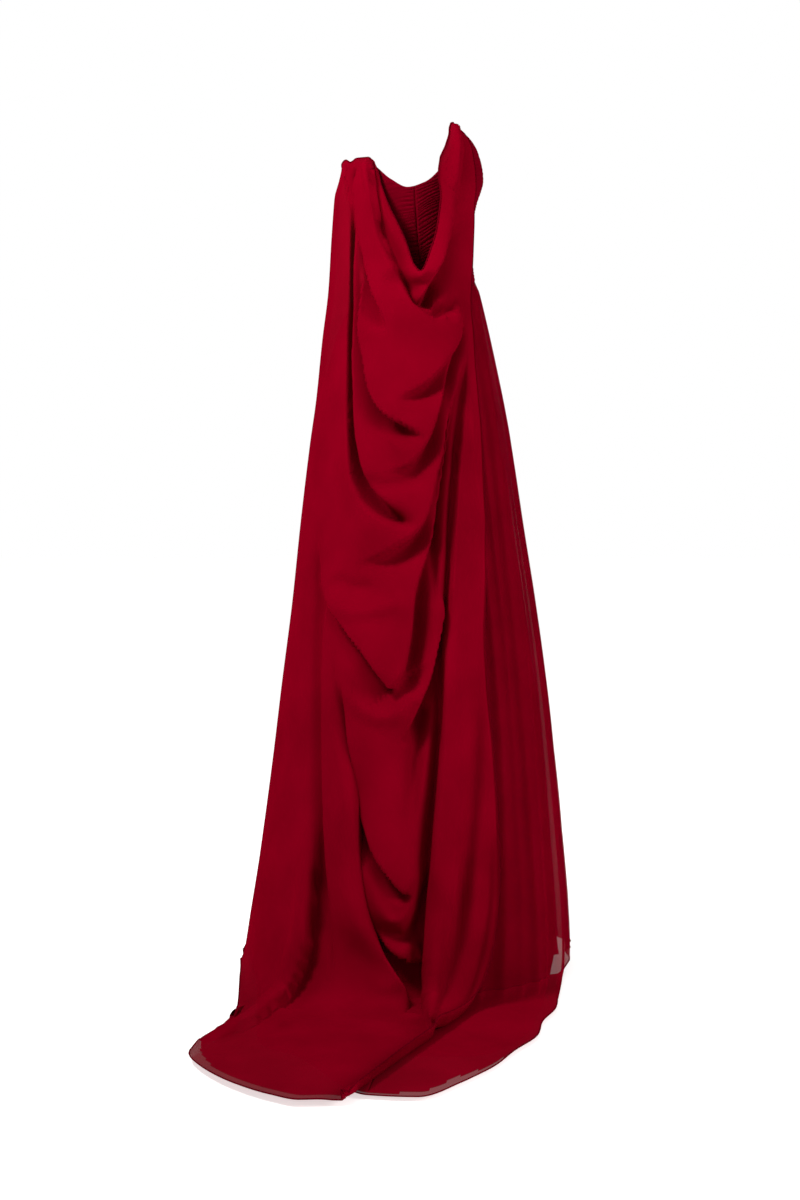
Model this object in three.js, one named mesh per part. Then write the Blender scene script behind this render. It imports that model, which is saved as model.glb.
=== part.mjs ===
// Strapless gown with a one-sided cowl drape, worn shape with no wearer in it.
//
// Frame: millimetres, +Z up. The wearer faces -Y, and the wearer's right side is -X.
// The origin is on the body's axis at the height of the underarm, where the boned
// band of the bodice grips the wearer.
//
// Tables give every place as
//   forward  distance in front of the body's axis (along -Y)
//   right    distance to the wearer's right of the axis (along -X)
//   height   height above the floor
// and every direction round the body as an angle in degrees:
//   0 right side seam, 90 centre front, 180 left side seam, -90 or 270 centre back.

import * as THREE from 'three';

// ---------------------------------------------------------------- driving sizes

const UNDERARM_HEIGHT = 1272; // height of the origin above the floor
const WAIST_HEIGHT = 1127; // waist seam
const SEAM_GAP = 0.3; // clearance between pieces that are sewn to each other

const BODICE_WALL = 3; // boned foundation with its ruched cover
const UNDER_WALL = 1.2; // opaque under skirt
const CHIFFON_WALL = 1.1; // sheer outer skirt
const DRAPE_WALL = 1.5; // side drape with its hem

const UNDER_INSET = 1.8; // under skirt hangs inside the outer one by this at the waist
const STAND_OFF = 9; // how far the sheer layer stands off the opaque one lower down
const STAND_OFF_DROP = 260; // drop from the waist over which it comes to stand off
const DRAPE_SEAT = 2.4; // drape's outer face over the bodice where it is sewn on
const DRAPE_EASE = 3; // and so much more below its seam
const FLOOR_TURN = 22; // how softly cloth turns from hanging to lying on the floor
const TRAIN_START = 80; // floor run from which a skirt layer fully lies down
const HEM_FLARE = 0.2; // how far a hem that has no train turns outwards
const WIDE_GAP = 20; // widest stretch of plain skirt between two lines, in degrees
const FOOT_SHARE = 0.8; // share of a skirt's rows that hang
const SKIRT_ROWS = [0, 0.05, 0.14, 0.3, 0.46, 0.62, 0.74, 0.785, 0.8, 0.82, 0.87, 1];
const LAYER_CLEARANCE = 5.5; // drape's outer face over the outer skirt's, at the least
const LYING_LOW = 40; // cloth below this height lies on the layers beneath it
const LYING_HIGH = 200; // and cloth above this one hangs clear of them
const WAIST_SETTING = 60; // drop from the waist over which a skirt leaves its seam
const TRAIN_LEAST = 60; // a layer with a shorter floor run than this only flares

// Body of the bodice: worn sections of a general figure.
const BODICE_SECTIONS = [
  { height: 1127, centre: 8, front: 98, back: -77, right: 115, left: 115, bust: 0 },
  { height: 1170, centre: 6, front: 93, back: -88, right: 118, left: 118, bust: 1 },
  { height: 1210, centre: 3, front: 92, back: -98, right: 123, left: 123, bust: 5 },
  { height: 1250, centre: 0, front: 96, back: -106, right: 129, left: 129, bust: 11 },
  { height: 1290, centre: -2, front: 101, back: -112, right: 133, left: 133, bust: 16 },
  { height: 1330, centre: -3, front: 94, back: -117, right: 133, left: 133, bust: 13 },
  { height: 1373, centre: -5, front: 84, back: -120, right: 130, left: 130, bust: 4 },
];
const BUST_ANGLE = 50; // direction of each cup's fullest point from the side seam
const BUST_SPREAD = 24; // how wide a cup spreads round the body, in degrees
const BODICE_RADIUS = 120; // mean radius of the bodice, for the angle of a seam gap

// Top edge of the bodice, the same on both sides.
const TOP_EDGE = [
  { angle: -90, height: 1318 },
  { angle: -60, height: 1316 },
  { angle: -38, height: 1311 },
  { angle: -20, height: 1286 },
  { angle: -6, height: 1273 },
  { angle: 9, height: 1281 },
  { angle: 23, height: 1308 },
  { angle: 33, height: 1346 },
  { angle: 40, height: 1373 },
  { angle: 50, height: 1352 },
  { angle: 68, height: 1316 },
  { angle: 90, height: 1294 },
];

// Opaque under skirt, from the waist seam to the floor.
const SKIRT_SECTIONS = [
  { height: 1127, centre: 8, front: 98, back: -77, right: 115, left: 115 },
  { height: 1090, centre: 3, front: 106, back: -102, right: 127, left: 127 },
  { height: 1040, centre: -4, front: 115, back: -122, right: 141, left: 142 },
  { height: 940, centre: -6, front: 130, back: -141, right: 160, left: 164 },
  { height: 840, centre: -6, front: 144, back: -158, right: 172, left: 180 },
  { height: 740, centre: -5, front: 159, back: -168, right: 182, left: 195 },
  { height: 610, centre: -5, front: 180, back: -180, right: 195, left: 213 },
  { height: 480, centre: -6, front: 198, back: -196, right: 208, left: 230 },
  { height: 350, centre: -8, front: 212, back: -214, right: 222, left: 248 },
  { height: 210, centre: -10, front: 225, back: -236, right: 238, left: 266 },
  { height: 90, centre: -12, front: 234, back: -254, right: 251, left: 280 },
  { height: 0, centre: -14, front: 237, back: -262, right: 262, left: 288 },
];

// Where the skirt's layers end on the floor.
const UNDER_HEM = [
  { angle: -90, forward: -262, right: 10 },
  { angle: -70, forward: -268, right: 240 },
  { angle: -45, forward: -262, right: 500 },
  { angle: -20, forward: -170, right: 548 },
  { angle: 5, forward: -40, right: 560 },
  { angle: 25, forward: 75, right: 560 },
  { angle: 42, forward: 150, right: 470 },
  { angle: 60, forward: 190, right: 330 },
  { angle: 78, forward: 220, right: 120 },
  { angle: 90, forward: 236, right: 0 },
];
const OUTER_HEM = [
  { angle: -90, forward: -272, right: 10 },
  { angle: -70, forward: -276, right: 260 },
  { angle: -45, forward: -270, right: 560 },
  { angle: -20, forward: -170, right: 690 },
  { angle: 0, forward: -70, right: 755 },
  { angle: 14, forward: 0, right: 757 },
  { angle: 27, forward: 62, right: 698 },
  { angle: 40, forward: 125, right: 586 },
  { angle: 53, forward: 184, right: 448 },
  { angle: 65, forward: 209, right: 320 },
  { angle: 78, forward: 232, right: 130 },
  { angle: 90, forward: 248, right: 0 },
];

// Gathered flutes of the outer skirt: direction at the waist and at the hem,
// how far each stands out at the hem and how wide it is there.
const FLUTES = [
  { waist: 50, hem: 38, rise: 8, width: 6 },
  { waist: 62, hem: 52, rise: 13, width: 6 },
  { waist: 74, hem: 67, rise: 16, width: 6 },
  { waist: 86, hem: 83, rise: 8, width: 6 },
  { waist: 99, hem: 100, rise: 13, width: 7 },
  { waist: 116, hem: 119, rise: 17, width: 8 },
  { waist: 134, hem: 138, rise: 14, width: 8 },
  { waist: 152, hem: 156, rise: 19, width: 8 },
  { waist: 171, hem: 175, rise: 15, width: 8 },
  { waist: 190, hem: 193, rise: 18, width: 8 },
  { waist: 209, hem: 212, rise: 14, width: 8 },
  { waist: 228, hem: 230, rise: 16, width: 8 },
];

// Hanging form of the drape before its folds.
const DRAPE_SECTIONS = [
  { height: 1373, centre: -5, front: 96, back: -124, right: 138, corner: 2 },
  { height: 1310, centre: -3, front: 109, back: -126, right: 142, corner: 2 },
  { height: 1250, centre: 0, front: 108, back: -131, right: 147, corner: 2 },
  { height: 1195, centre: 3, front: 103, back: -135, right: 154, corner: 2 },
  { height: 1115, centre: 5, front: 110, back: -140, right: 168, corner: 2 },
  { height: 1035, centre: 0, front: 133, back: -150, right: 188, corner: 2 },
  { height: 940, centre: -4, front: 153, back: -160, right: 207, corner: 2 },
  { height: 870, centre: -5, front: 164, back: -170, right: 218, corner: 2 },
  { height: 740, centre: -5, front: 182, back: -186, right: 233, corner: 2 },
  { height: 610, centre: -5, front: 203, back: -200, right: 247, corner: 2.05 },
  { height: 480, centre: -6, front: 221, back: -217, right: 260, corner: 2.1 },
  { height: 350, centre: -8, front: 236, back: -233, right: 274, corner: 2.2 },
  { height: 210, centre: -10, front: 250, back: -252, right: 291, corner: 2.4 },
  { height: 90, centre: -12, front: 258, back: -269, right: 306, corner: 2.7 },
  { height: 0, centre: -14, front: 262, back: -280, right: 318, corner: 3 },
];

// Lines along the drape: the slot beside the back fall, the pleat beside the
// front fall and the drape's free front edge.
const DRAPE_LINES = [
  { height: 1373, slot: -104, pleat: 60, edge: 68 },
  { height: 1330, slot: -104, pleat: 78, edge: 90 },
  { height: 1285, slot: -104, pleat: 84, edge: 98 },
  { height: 1228, slot: -103, pleat: 85, edge: 98 },
  { height: 1167, slot: -102, pleat: 83, edge: 93 },
  { height: 1095, slot: -100, pleat: 78, edge: 88 },
  { height: 1026, slot: -99, pleat: 77, edge: 92 },
  { height: 941, slot: -98, pleat: 76, edge: 99 },
  { height: 880, slot: -104, pleat: 72, edge: 104 },
  { height: 800, slot: -122, pleat: 68, edge: 106 },
  { height: 700, slot: -141, pleat: 60, edge: 106 },
  { height: 600, slot: -143, pleat: 50, edge: 106 },
  { height: 500, slot: -142, pleat: 46, edge: 112 },
  { height: 400, slot: -141, pleat: 42, edge: 121 },
  { height: 300, slot: -140, pleat: 34, edge: 127 },
  { height: 200, slot: -137, pleat: 24, edge: 129 },
  { height: 100, slot: -132, pleat: 16, edge: 121 },
  { height: 0, slot: -127, pleat: 10, edge: 96 },
];
const DRAPE_BACK_ANGLE = -108; // the drape's free edge, round the back
const ACROSS_GAP = 0.0004; // half a gap between stretches, as a share of its width
const ALONG_GAP = 0.0001; // and as a share of its length
const SLOT_SHARE = 0.28; // share of the drape's width up to the slot
const PLEAT_SHARE = 0.83; // and up to the pleat

// Top edge of the drape: over the back band, down into the cowl, up to the cup.
const DRAPE_TOP = [
  { share: 0.0, height: 1318 },
  { share: 0.28, height: 1317 },
  { share: 0.33, height: 1312 },
  { share: 0.4, height: 1262 },
  { share: 0.47, height: 1192 },
  { share: 0.53, height: 1150 },
  { share: 0.57, height: 1143 },
  { share: 0.61, height: 1162 },
  { share: 0.67, height: 1232 },
  { share: 0.75, height: 1316 },
  { share: 0.83, height: 1368 },
  { share: 1.0, height: 1371 },
];
const COWL_SHARE = 0.16; // share of the drape's rows down to the foot of the cowl
const COWL_FOOT = 1040; // height of that foot
const LYING_SHARE = 0.84; // share of its rows down to the floor
const BACK_SEAT_HEIGHT = 1318; // the drape is sewn to the bodice at these heights
const CUP_SEAT_HEIGHT = 1373;
const SEAT_SHARE = 0.5; // share of the width that is sewn at the back
const SEAT_DROP = 90; // below them it swings out to its hanging form over this drop
const EASE_DROP = 30; // and takes up its ease over this one
const DRAPE_LIE = 11.5; // drape's outer face over the floor where it lies
const FOLD_SAMPLES = 8; // stretches of a fold's line for each of its points
const FOLD_END = 0.15; // share of a fold's length over which it dies out at each end
const FOLD_LEFT = 0.15; // share of its height that is left at the very end
const HOLLOW_LIMIT = 0.9; // deepest a hollow goes, as a share of the room under it
const FOLD_BACK_FROM = -92; // folds die out round the back between these directions
const FOLD_BACK_TO = -70;
const HEAVE_FROM = 10; // on the floor folds turn from standing out to standing up
const HEAVE_TO = 60; // between these runs

// Hem of the drape on the floor.
const DRAPE_HEM = [
  { share: 0.0, forward: -279, right: -90 },
  { share: 0.06, forward: -284, right: 60 },
  { share: 0.12, forward: -279, right: 230 },
  { share: 0.17, forward: -290, right: 400 },
  { share: 0.22, forward: -332, right: 523 },
  { share: 0.28, forward: -305, right: 612 },
  { share: 0.4, forward: -250, right: 705 },
  { share: 0.55, forward: -200, right: 755 },
  { share: 0.68, forward: -160, right: 783 },
  { share: 0.83, forward: -115, right: 774 },
  { share: 1.0, forward: -92, right: 783 },
];

// Folds of the drape. Each follows a line of [forward, height] points (a height
// below zero is a run along the floor). Cloth on the left hand of the line rises by
// rise over the breadth body, drops within edge, and lies dip deep over the breadth
// hollow beyond it.
const DRAPE_FOLDS = [
  { fold: 'cowl fold front side', rise: 10, dip: 20, body: 18, edge: 9, hollow: 22,
    line: [[4, 1085], [40, 1155], [65, 1268], [72, 1350]] },
  { fold: 'second cowl lip', rise: 15, dip: 12, body: 28, edge: 9, hollow: 20,
    line: [[79, 1099], [45, 1069], [4, 1085], [-41, 1166], [-66, 1307]] },
  { fold: 'slot, cascade side', rise: 9, dip: 22, body: 25, edge: 8, hollow: 14,
    line: [[-99, 1213], [-92, 1019], [-81, 849], [-47, 788], [2, 748]] },
  { fold: 'slot, back fall side', rise: 8, dip: 6, body: 28, edge: 8, hollow: 12,
    line: [[-58, 748], [-100, 842], [-109, 972], [-111, 1252]] },
  { fold: 'third swag, back side', rise: 13, dip: 14, body: 35, edge: 9, hollow: 20,
    line: [[-93, 1166], [-70, 1011], [-43, 922], [4, 886]] },
  { fold: 'third swag, front side', rise: 7, dip: 12, body: 28, edge: 8, hollow: 14,
    line: [[-7, 952], [32, 992], [61, 1049]] },
  { fold: 'fourth swag, front side', rise: 8, dip: 13, body: 28, edge: 8, hollow: 13,
    line: [[-36, 834], [8, 866], [32, 941], [49, 1019]] },
  { fold: 'fifth swag, front side', rise: 9, dip: 17, body: 32, edge: 8, hollow: 16,
    line: [[-58, 687], [-9, 728], [24, 803], [47, 941], [63, 1057]] },
  { fold: 'sixth swag ridge', rise: 11, dip: 0, body: 16, edge: 16, hollow: 16,
    line: [[-146, 704], [-113, 632], [-76, 615], [-16, 641]] },
  { fold: 'sixth swag, back side', rise: 10, dip: 20, body: 30, edge: 8, hollow: 17,
    line: [[-152, 780], [-138, 661], [-92, 590], [-36, 498]] },
  { fold: 'sixth swag, front side', rise: 8, dip: 20, body: 26, edge: 8, hollow: 20,
    line: [[-36, 498], [-5, 604], [33, 714], [50, 849], [66, 972]] },
  { fold: 'seventh swag ridge', rise: 11, dip: 0, body: 16, edge: 16, hollow: 16,
    line: [[-117, 573], [-89, 478], [-49, 455], [5, 496], [44, 638]] },
  { fold: 'seventh swag, front side', rise: 7, dip: 22, body: 24, edge: 9, hollow: 24,
    line: [[-30, 350], [-10, 450], [27, 530], [48, 619]] },
  { fold: 'seventh swag, back side', rise: 6, dip: 16, body: 24, edge: 8, hollow: 14,
    line: [[-115, 535], [-93, 427], [-86, 300]] },
  { fold: 'pleat beside the front fall', rise: 9, dip: 20, body: 30, edge: 8, hollow: 16,
    line: [[78, 1026], [69, 819], [48, 573], [36, 327], [19, 142], [10, 20]] },
  { fold: 'pleat beside the back fall', rise: 6, dip: 16, body: 22, edge: 7, hollow: 12,
    line: [[-143, 696], [-143, 512], [-140, 327], [-131, 90]] },
  { fold: 'lowest cowl', rise: 12, dip: 14, body: 20, edge: 9, hollow: 20,
    line: [[-83, 350], [-66, 235], [-29, 160], [-1, 185], [19, 250]] },
  { fold: 'train fold, back', rise: 14, dip: 10, body: 26, edge: 12, hollow: 24,
    line: [[-255, -120], [-213, -15], [-170, 75], [-157, 170], [-151, 327]] },
  { fold: 'train fold, middle', rise: 14, dip: 14, body: 24, edge: 12, hollow: 26,
    line: [[-10, -20], [-56, 77], [-86, 196], [-95, 342]] },
  { fold: 'train fold, front', rise: 12, dip: 0, body: 26, edge: 20, hollow: 20,
    line: [[-60, -400], [20, -180], [92, 10], [118, 90], [127, 250]] },
];

const DEG = Math.PI / 180;
const SLOPE_STEP = 4e-3; // step in a share over which the slope of cloth is taken

// ---------------------------------------------------------------- small helpers

// A place in the gown's own frame.
function place(forward, right, height) {
  return new THREE.Vector3(-right, -forward, height - UNDERARM_HEIGHT);
}

// Smooth value of one named column of a table at a position along another column.
function column(table, along, at, name) {
  const sign = Math.sign(table[1][along] - table[0][along]);
  const last = table.length - 1;
  let i = 0;
  while (i < last - 1 && sign * (table[i + 1][along] - at) < 0) i += 1;
  const slope = (a, b) => (table[b][name] - table[a][name]) / (table[b][along] - table[a][along]);
  const here = slope(i, i + 1);
  const tangent = (k) => {
    if (k === 0 || k === last) return here;
    const before = slope(k - 1, k);
    const after = slope(k, k + 1);
    if (before * after <= 0) return 0;
    return (2 * before * after) / (before + after);
  };
  const span = table[i + 1][along] - table[i][along];
  const t = THREE.MathUtils.clamp((at - table[i][along]) / span, 0, 1);
  const t2 = t * t;
  const t3 = t2 * t;
  return (2 * t3 - 3 * t2 + 1) * table[i][name]
    + (t3 - 2 * t2 + t) * span * tangent(i)
    + (3 * t2 - 2 * t3) * table[i + 1][name]
    + (t3 - t2) * span * tangent(i + 1);
}

// Point of a horizontal section through a form, with the outward direction there.
function section(sections, angle, height) {
  const get = (name) => column(sections, 'height', height, name);
  const corner = sections[0].corner === undefined ? 2 : get('corner');
  const sin = Math.sin(angle * DEG);
  const cos = Math.cos(angle * DEG);
  const bend = (value) => Math.sign(value) * Math.abs(value) ** (2 / corner);
  const centre = get('centre');
  const deep = sin > 0 ? get('front') - centre : centre - get('back');
  const wide = cos > 0 || sections[0].left === undefined ? get('right') : get('left');
  const out = new THREE.Vector2(sin / deep, cos / wide).normalize();
  return { forward: centre + deep * bend(sin), right: wide * bend(cos), out };
}

// Cloth turns from hanging to lying: its real height and its run along the floor,
// for a position along the cloth (height while it hangs, minus the run once it lies).
function settle(along) {
  const height = (along + Math.hypot(along, 2 * FLOOR_TURN)) / 2;
  return { height, run: height - along };
}

// 1 where cloth lies on the floor or is about to, 0 well above it.
function nearFloor(along) {
  return 1 - THREE.MathUtils.smoothstep(along, LYING_LOW, LYING_HIGH);
}

// Closed wall from a function of two shares that gives the cloth's outer face.
// Each quad is split along the diagonal that lies closer to the cloth.
function wall(name, outerFace, columns, rows, thickness, material) {
  const outer = [];
  for (const v of rows) {
    for (const u of columns) {
      const point = outerFace(u, v);
      const du = outerFace(u + SLOPE_STEP, v).sub(outerFace(u - SLOPE_STEP, v));
      const dv = outerFace(u, v + SLOPE_STEP).sub(outerFace(u, v - SLOPE_STEP));
      outer.push({ point, normal: du.cross(dv).normalize() });
    }
  }
  const wide = columns.length;
  const count = outer.length;
  const positions = [];
  const put = (p) => positions.push(p.x, p.y, p.z);
  for (const { point } of outer) put(point);
  for (const { point, normal } of outer) put(point.clone().addScaledVector(normal, -thickness));
  const faces = [];
  const quad = (a, b, c, d) => faces.push(a, c, b, a, d, c);
  const miss = (spot, a, b) => outer[a].point.clone().lerp(outer[b].point, 0.5).distanceTo(spot);
  for (let r = 0; r < rows.length - 1; r += 1) {
    for (let c = 0; c < wide - 1; c += 1) {
      const a = r * wide + c;
      const b = a + 1;
      const d = a + wide;
      const e = d + 1;
      const middle = outerFace((columns[c] + columns[c + 1]) / 2, (rows[r] + rows[r + 1]) / 2);
      if (miss(middle, a, e) <= miss(middle, b, d)) {
        quad(a, d, e, b);
        quad(count + e, count + d, count + a, count + b);
      } else {
        quad(b, a, d, e);
        quad(count + b, count + e, count + d, count + a);
      }
    }
    const left = r * wide;
    const right = left + wide - 1;
    quad(left, count + left, count + left + wide, left + wide);
    quad(right, right + wide, count + right + wide, count + right);
  }
  for (let c = 0; c < wide - 1; c += 1) {
    const low = (rows.length - 1) * wide + c;
    quad(c, c + 1, count + c + 1, count + c);
    quad(low, count + low, count + low + 1, low + 1);
  }
  const geometry = new THREE.BufferGeometry();
  geometry.setAttribute('position', new THREE.Float32BufferAttribute(positions, 3));
  geometry.setIndex(faces);
  geometry.computeVertexNormals();
  const mesh = new THREE.Mesh(geometry, material);
  mesh.name = name;
  return mesh;
}

// Evenly spaced shares from low to high.
function even(low, high, count) {
  return Array.from({ length: count + 1 }, (_, i) => low + ((high - low) * i) / count);
}

// ---------------------------------------------------------------- bodice

// Height of the bodice's top edge in any direction.
function topEdgeHeight(angle) {
  const folded = angle > 90 ? 180 - angle : angle;
  return column(TOP_EDGE, 'angle', folded, 'height');
}

// Outer face of the bodice, pushed out by a clearance.
function bodicePoint(angle, height, clearance = 0) {
  const { forward, right, out } = section(BODICE_SECTIONS, angle, height);
  const bust = column(BODICE_SECTIONS, 'height', height, 'bust');
  const cup = (centre) => Math.exp(-(((angle - centre) / BUST_SPREAD) ** 2));
  const push = clearance + bust * (cup(BUST_ANGLE) + cup(180 - BUST_ANGLE));
  return { forward: forward + out.x * push, right: right + out.y * push };
}

// One panel of the bodice between two directions, from top edge to waist seam.
function bodicePanel(name, from, to, columns, rows, material) {
  const trim = SEAM_GAP / 2 / BODICE_RADIUS / DEG;
  const face = (u, v) => {
    const angle = THREE.MathUtils.lerp(to - trim, from + trim, u);
    const height = THREE.MathUtils.lerp(topEdgeHeight(angle), WAIST_HEIGHT, v);
    const { forward, right } = bodicePoint(angle, height);
    return place(forward, right, height);
  };
  return wall(name, face, even(0, 1, columns), even(0, 1, rows), BODICE_WALL, material);
}

// ---------------------------------------------------------------- skirt

// Lift of the gathered flutes at a direction, growing from waist to hem.
function fluteLift(angle, along) {
  const drop = THREE.MathUtils.clamp((WAIST_HEIGHT - along) / WAIST_HEIGHT, 0, 1);
  const full = angle < -90 ? angle + 360 : angle;
  let lift = 0;
  for (const { waist, hem, rise, width } of FLUTES) {
    const centre = THREE.MathUtils.lerp(waist, hem, Math.sqrt(drop));
    lift += rise * Math.sqrt(drop) * Math.exp(-(((full - centre) / width) ** 2));
  }
  return lift;
}

// Lines down a skirt panel between two seams, each by its direction at the waist and
// at the hem. They follow the flutes, one along each crest and one in each hollow.
function fluteLines(from, to) {
  const crests = FLUTES.filter(({ waist }) => waist > from && waist < to);
  const lines = [{ waist: from, hem: from }, ...crests, { waist: to, hem: to }];
  const all = [lines[0]];
  for (let i = 1; i < lines.length; i += 1) {
    const gap = lines[i].waist - lines[i - 1].waist;
    const steps = gap > WIDE_GAP ? Math.ceil(gap / WIDE_GAP) + 1 : 2;
    for (let k = 1; k <= steps; k += 1) {
      all.push({
        waist: THREE.MathUtils.lerp(lines[i - 1].waist, lines[i].waist, k / steps),
        hem: THREE.MathUtils.lerp(lines[i - 1].hem, lines[i].hem, k / steps),
      });
    }
  }
  return all;
}

// Run of a skirt layer along the floor: its direction and its length.
function skirtRun(layer, angle, foot) {
  const side = THREE.MathUtils.clamp(angle, -90, 90);
  const run = new THREE.Vector2(
    column(layer.hem, 'angle', side, 'forward') - foot.forward,
    column(layer.hem, 'angle', side, 'right') - foot.right,
  );
  if (angle > 90) return { length: 0, toward: foot.out.clone() };
  return { length: run.length(), toward: run.normalize() };
}

// Position along a skirt for a share of its length: hanging first, then lying.
function skirtAlong(layer, length, share) {
  const lies = THREE.MathUtils.smoothstep(length, 0, TRAIN_START);
  const top = WAIST_HEIGHT - SEAM_GAP;
  const foot = THREE.MathUtils.lerp(layer.clear, 0, lies);
  const low = FLOOR_TURN ** 2 / Math.max(length, FLOOR_TURN) - length;
  const end = THREE.MathUtils.lerp(layer.clear, Math.min(low, 0), lies);
  if (share < FOOT_SHARE) return THREE.MathUtils.lerp(top, foot, share / FOOT_SHARE);
  return THREE.MathUtils.lerp(foot, end, (share - FOOT_SHARE) / (1 - FOOT_SHARE));
}

// Outer face of a skirt layer at a direction and a share of its length.
function skirtPoint(layer, angle, share) {
  const edge = section(SKIRT_SECTIONS, angle, 0);
  const foot = {
    forward: edge.forward + edge.out.x * layer.offset(0),
    right: edge.right + edge.out.y * layer.offset(0),
    out: edge.out,
  };
  const { length, toward } = skirtRun(layer, angle, foot);
  const along = skirtAlong(layer, length, share);
  const { height, run } = settle(along);
  const at = section(SKIRT_SECTIONS, angle, Math.min(height, WAIST_HEIGHT));
  const push = layer.offset(height) + layer.flute * fluteLift(angle, height);
  const spread = THREE.MathUtils.smoothstep(length, 0, TRAIN_LEAST);
  const gone = run * THREE.MathUtils.lerp(HEM_FLARE, 1, spread);
  const hang = THREE.MathUtils.smoothstep(WAIST_HEIGHT - along, 0, WAIST_SETTING);
  return place(
    at.forward + at.out.x * push + toward.x * gone,
    at.right + at.out.y * push + toward.y * gone,
    THREE.MathUtils.lerp(along, height + layer.lie * nearFloor(along), hang),
  );
}

// The two layers of the skirt: where each ends on the floor, how many lines of the
// flutes one column of its faces takes, the height of its outer face where it lies,
// how far its hem stays above the floor where it has no train, its share of the
// flutes' rise, and its distance from the skirt's sections.
const UNDER_LAYER = {
  hem: UNDER_HEM,
  linesPerColumn: 2,
  lie: 1.4,
  clear: -6,
  flute: 0.25,
  offset: () => -UNDER_INSET,
};
const OUTER_LAYER = {
  hem: OUTER_HEM,
  linesPerColumn: 1,
  lie: 6.4,
  clear: 6,
  flute: 1,
  offset: (height) => STAND_OFF * THREE.MathUtils.smoothstep(
    WAIST_HEIGHT - height, 0, STAND_OFF_DROP),
};

// One panel of a skirt layer between two seams.
function skirtPanel(name, layer, from, to, thickness, material) {
  const lines = fluteLines(from, to);
  const trimmed = (seam, v, sign) => {
    const reach = skirtPoint(layer, seam > 270 ? seam - 360 : seam, v);
    return seam + (sign * SEAM_GAP) / 2 / Math.hypot(reach.x, reach.y) / DEG;
  };
  const steps = lines.length - 1;
  const face = (u, v) => {
    const line = THREE.MathUtils.clamp(1 - u, 0, 1) * steps;
    const k = Math.min(Math.floor(line), steps - 1);
    const fall = Math.sqrt(THREE.MathUtils.clamp(v, 0, 1));
    const at = ({ waist, hem }) => THREE.MathUtils.lerp(waist, hem, fall);
    const angle = THREE.MathUtils.lerp(at(lines[k]), at(lines[k + 1]), line - k);
    const inside = THREE.MathUtils.clamp(angle, trimmed(from, v, 1), trimmed(to, v, -1));
    return skirtPoint(layer, inside > 270 ? inside - 360 : inside, v);
  };
  const columns = even(0, 1, Math.round(steps / layer.linesPerColumn));
  return wall(name, face, columns, SKIRT_ROWS, thickness, material);
}

// ---------------------------------------------------------------- drape

// A smooth line through a fold's points, sampled for the distance to it.
function foldLine(points) {
  const curve = new THREE.SplineCurve(points.map(([f, h]) => new THREE.Vector2(f, h)));
  return curve.getPoints(points.length * FOLD_SAMPLES);
}

const FOLD_LINES = DRAPE_FOLDS.map((fold) => ({ ...fold, samples: foldLine(fold.line) }));

// Height of one fold over a spot of the drape.
function foldHeight({ samples, rise, dip, body, edge, hollow }, spot) {
  let nearest = Infinity;
  let side = 1;
  let share = 0;
  const last = samples.length - 1;
  for (let i = 0; i < last; i += 1) {
    const a = samples[i];
    const line = samples[i + 1].clone().sub(a);
    const to = spot.clone().sub(a);
    const t = THREE.MathUtils.clamp(to.dot(line) / line.lengthSq(), 0, 1);
    const gap = to.clone().addScaledVector(line, -t);
    if (gap.length() < nearest) {
      nearest = gap.length();
      side = Math.sign(line.cross(gap)) || 1;
      share = (i + t) / last;
    }
  }
  const bell = (breadth) => Math.exp(-((nearest / breadth) ** 2));
  const fade = THREE.MathUtils.smoothstep(share, 0, FOLD_END)
    * THREE.MathUtils.smoothstep(1 - share, 0, FOLD_END);
  const across = side > 0 ? rise * bell(body) : (rise + dip) * bell(edge) - dip * bell(hollow);
  return across * THREE.MathUtils.lerp(FOLD_LEFT, 1, fade);
}

// Direction round the body of each line of the drape at a height.
function drapeAngle(share, height) {
  const level = Math.max(height, 0);
  const centre = column(DRAPE_SECTIONS, 'height', level, 'centre');
  const front = column(DRAPE_SECTIONS, 'height', level, 'front') - centre;
  const back = centre - column(DRAPE_SECTIONS, 'height', level, 'back');
  const corner = column(DRAPE_SECTIONS, 'height', level, 'corner');
  const toAngle = (name) => {
    const off = column(DRAPE_LINES, 'height', level, name) - centre;
    const part = Math.min(Math.abs(off) / (off > 0 ? front : back), 1) ** (corner / 2);
    return (Math.sign(off) * Math.asin(part)) / DEG;
  };
  const { lerp, inverseLerp } = THREE.MathUtils;
  const slot = toAngle('slot');
  const pleat = toAngle('pleat');
  if (share < SLOT_SHARE) return lerp(DRAPE_BACK_ANGLE, slot, share / SLOT_SHARE);
  if (share < PLEAT_SHARE) return lerp(slot, pleat, inverseLerp(SLOT_SHARE, PLEAT_SHARE, share));
  return lerp(pleat, toAngle('edge'), inverseLerp(PLEAT_SHARE, 1, share));
}

// Closest that the drape's outer face may come to the body of the gown.
function underDrape(angle, height, ease) {
  if (height > WAIST_HEIGHT) return bodicePoint(angle, height, DRAPE_SEAT + ease * DRAPE_EASE);
  const full = angle < -90 ? angle + 360 : angle;
  const at = section(SKIRT_SECTIONS, full, height);
  const push = OUTER_LAYER.offset(height) + fluteLift(angle, height) + LAYER_CLEARANCE;
  return { forward: at.forward + at.out.x * push, right: at.right + at.out.y * push };
}

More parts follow.
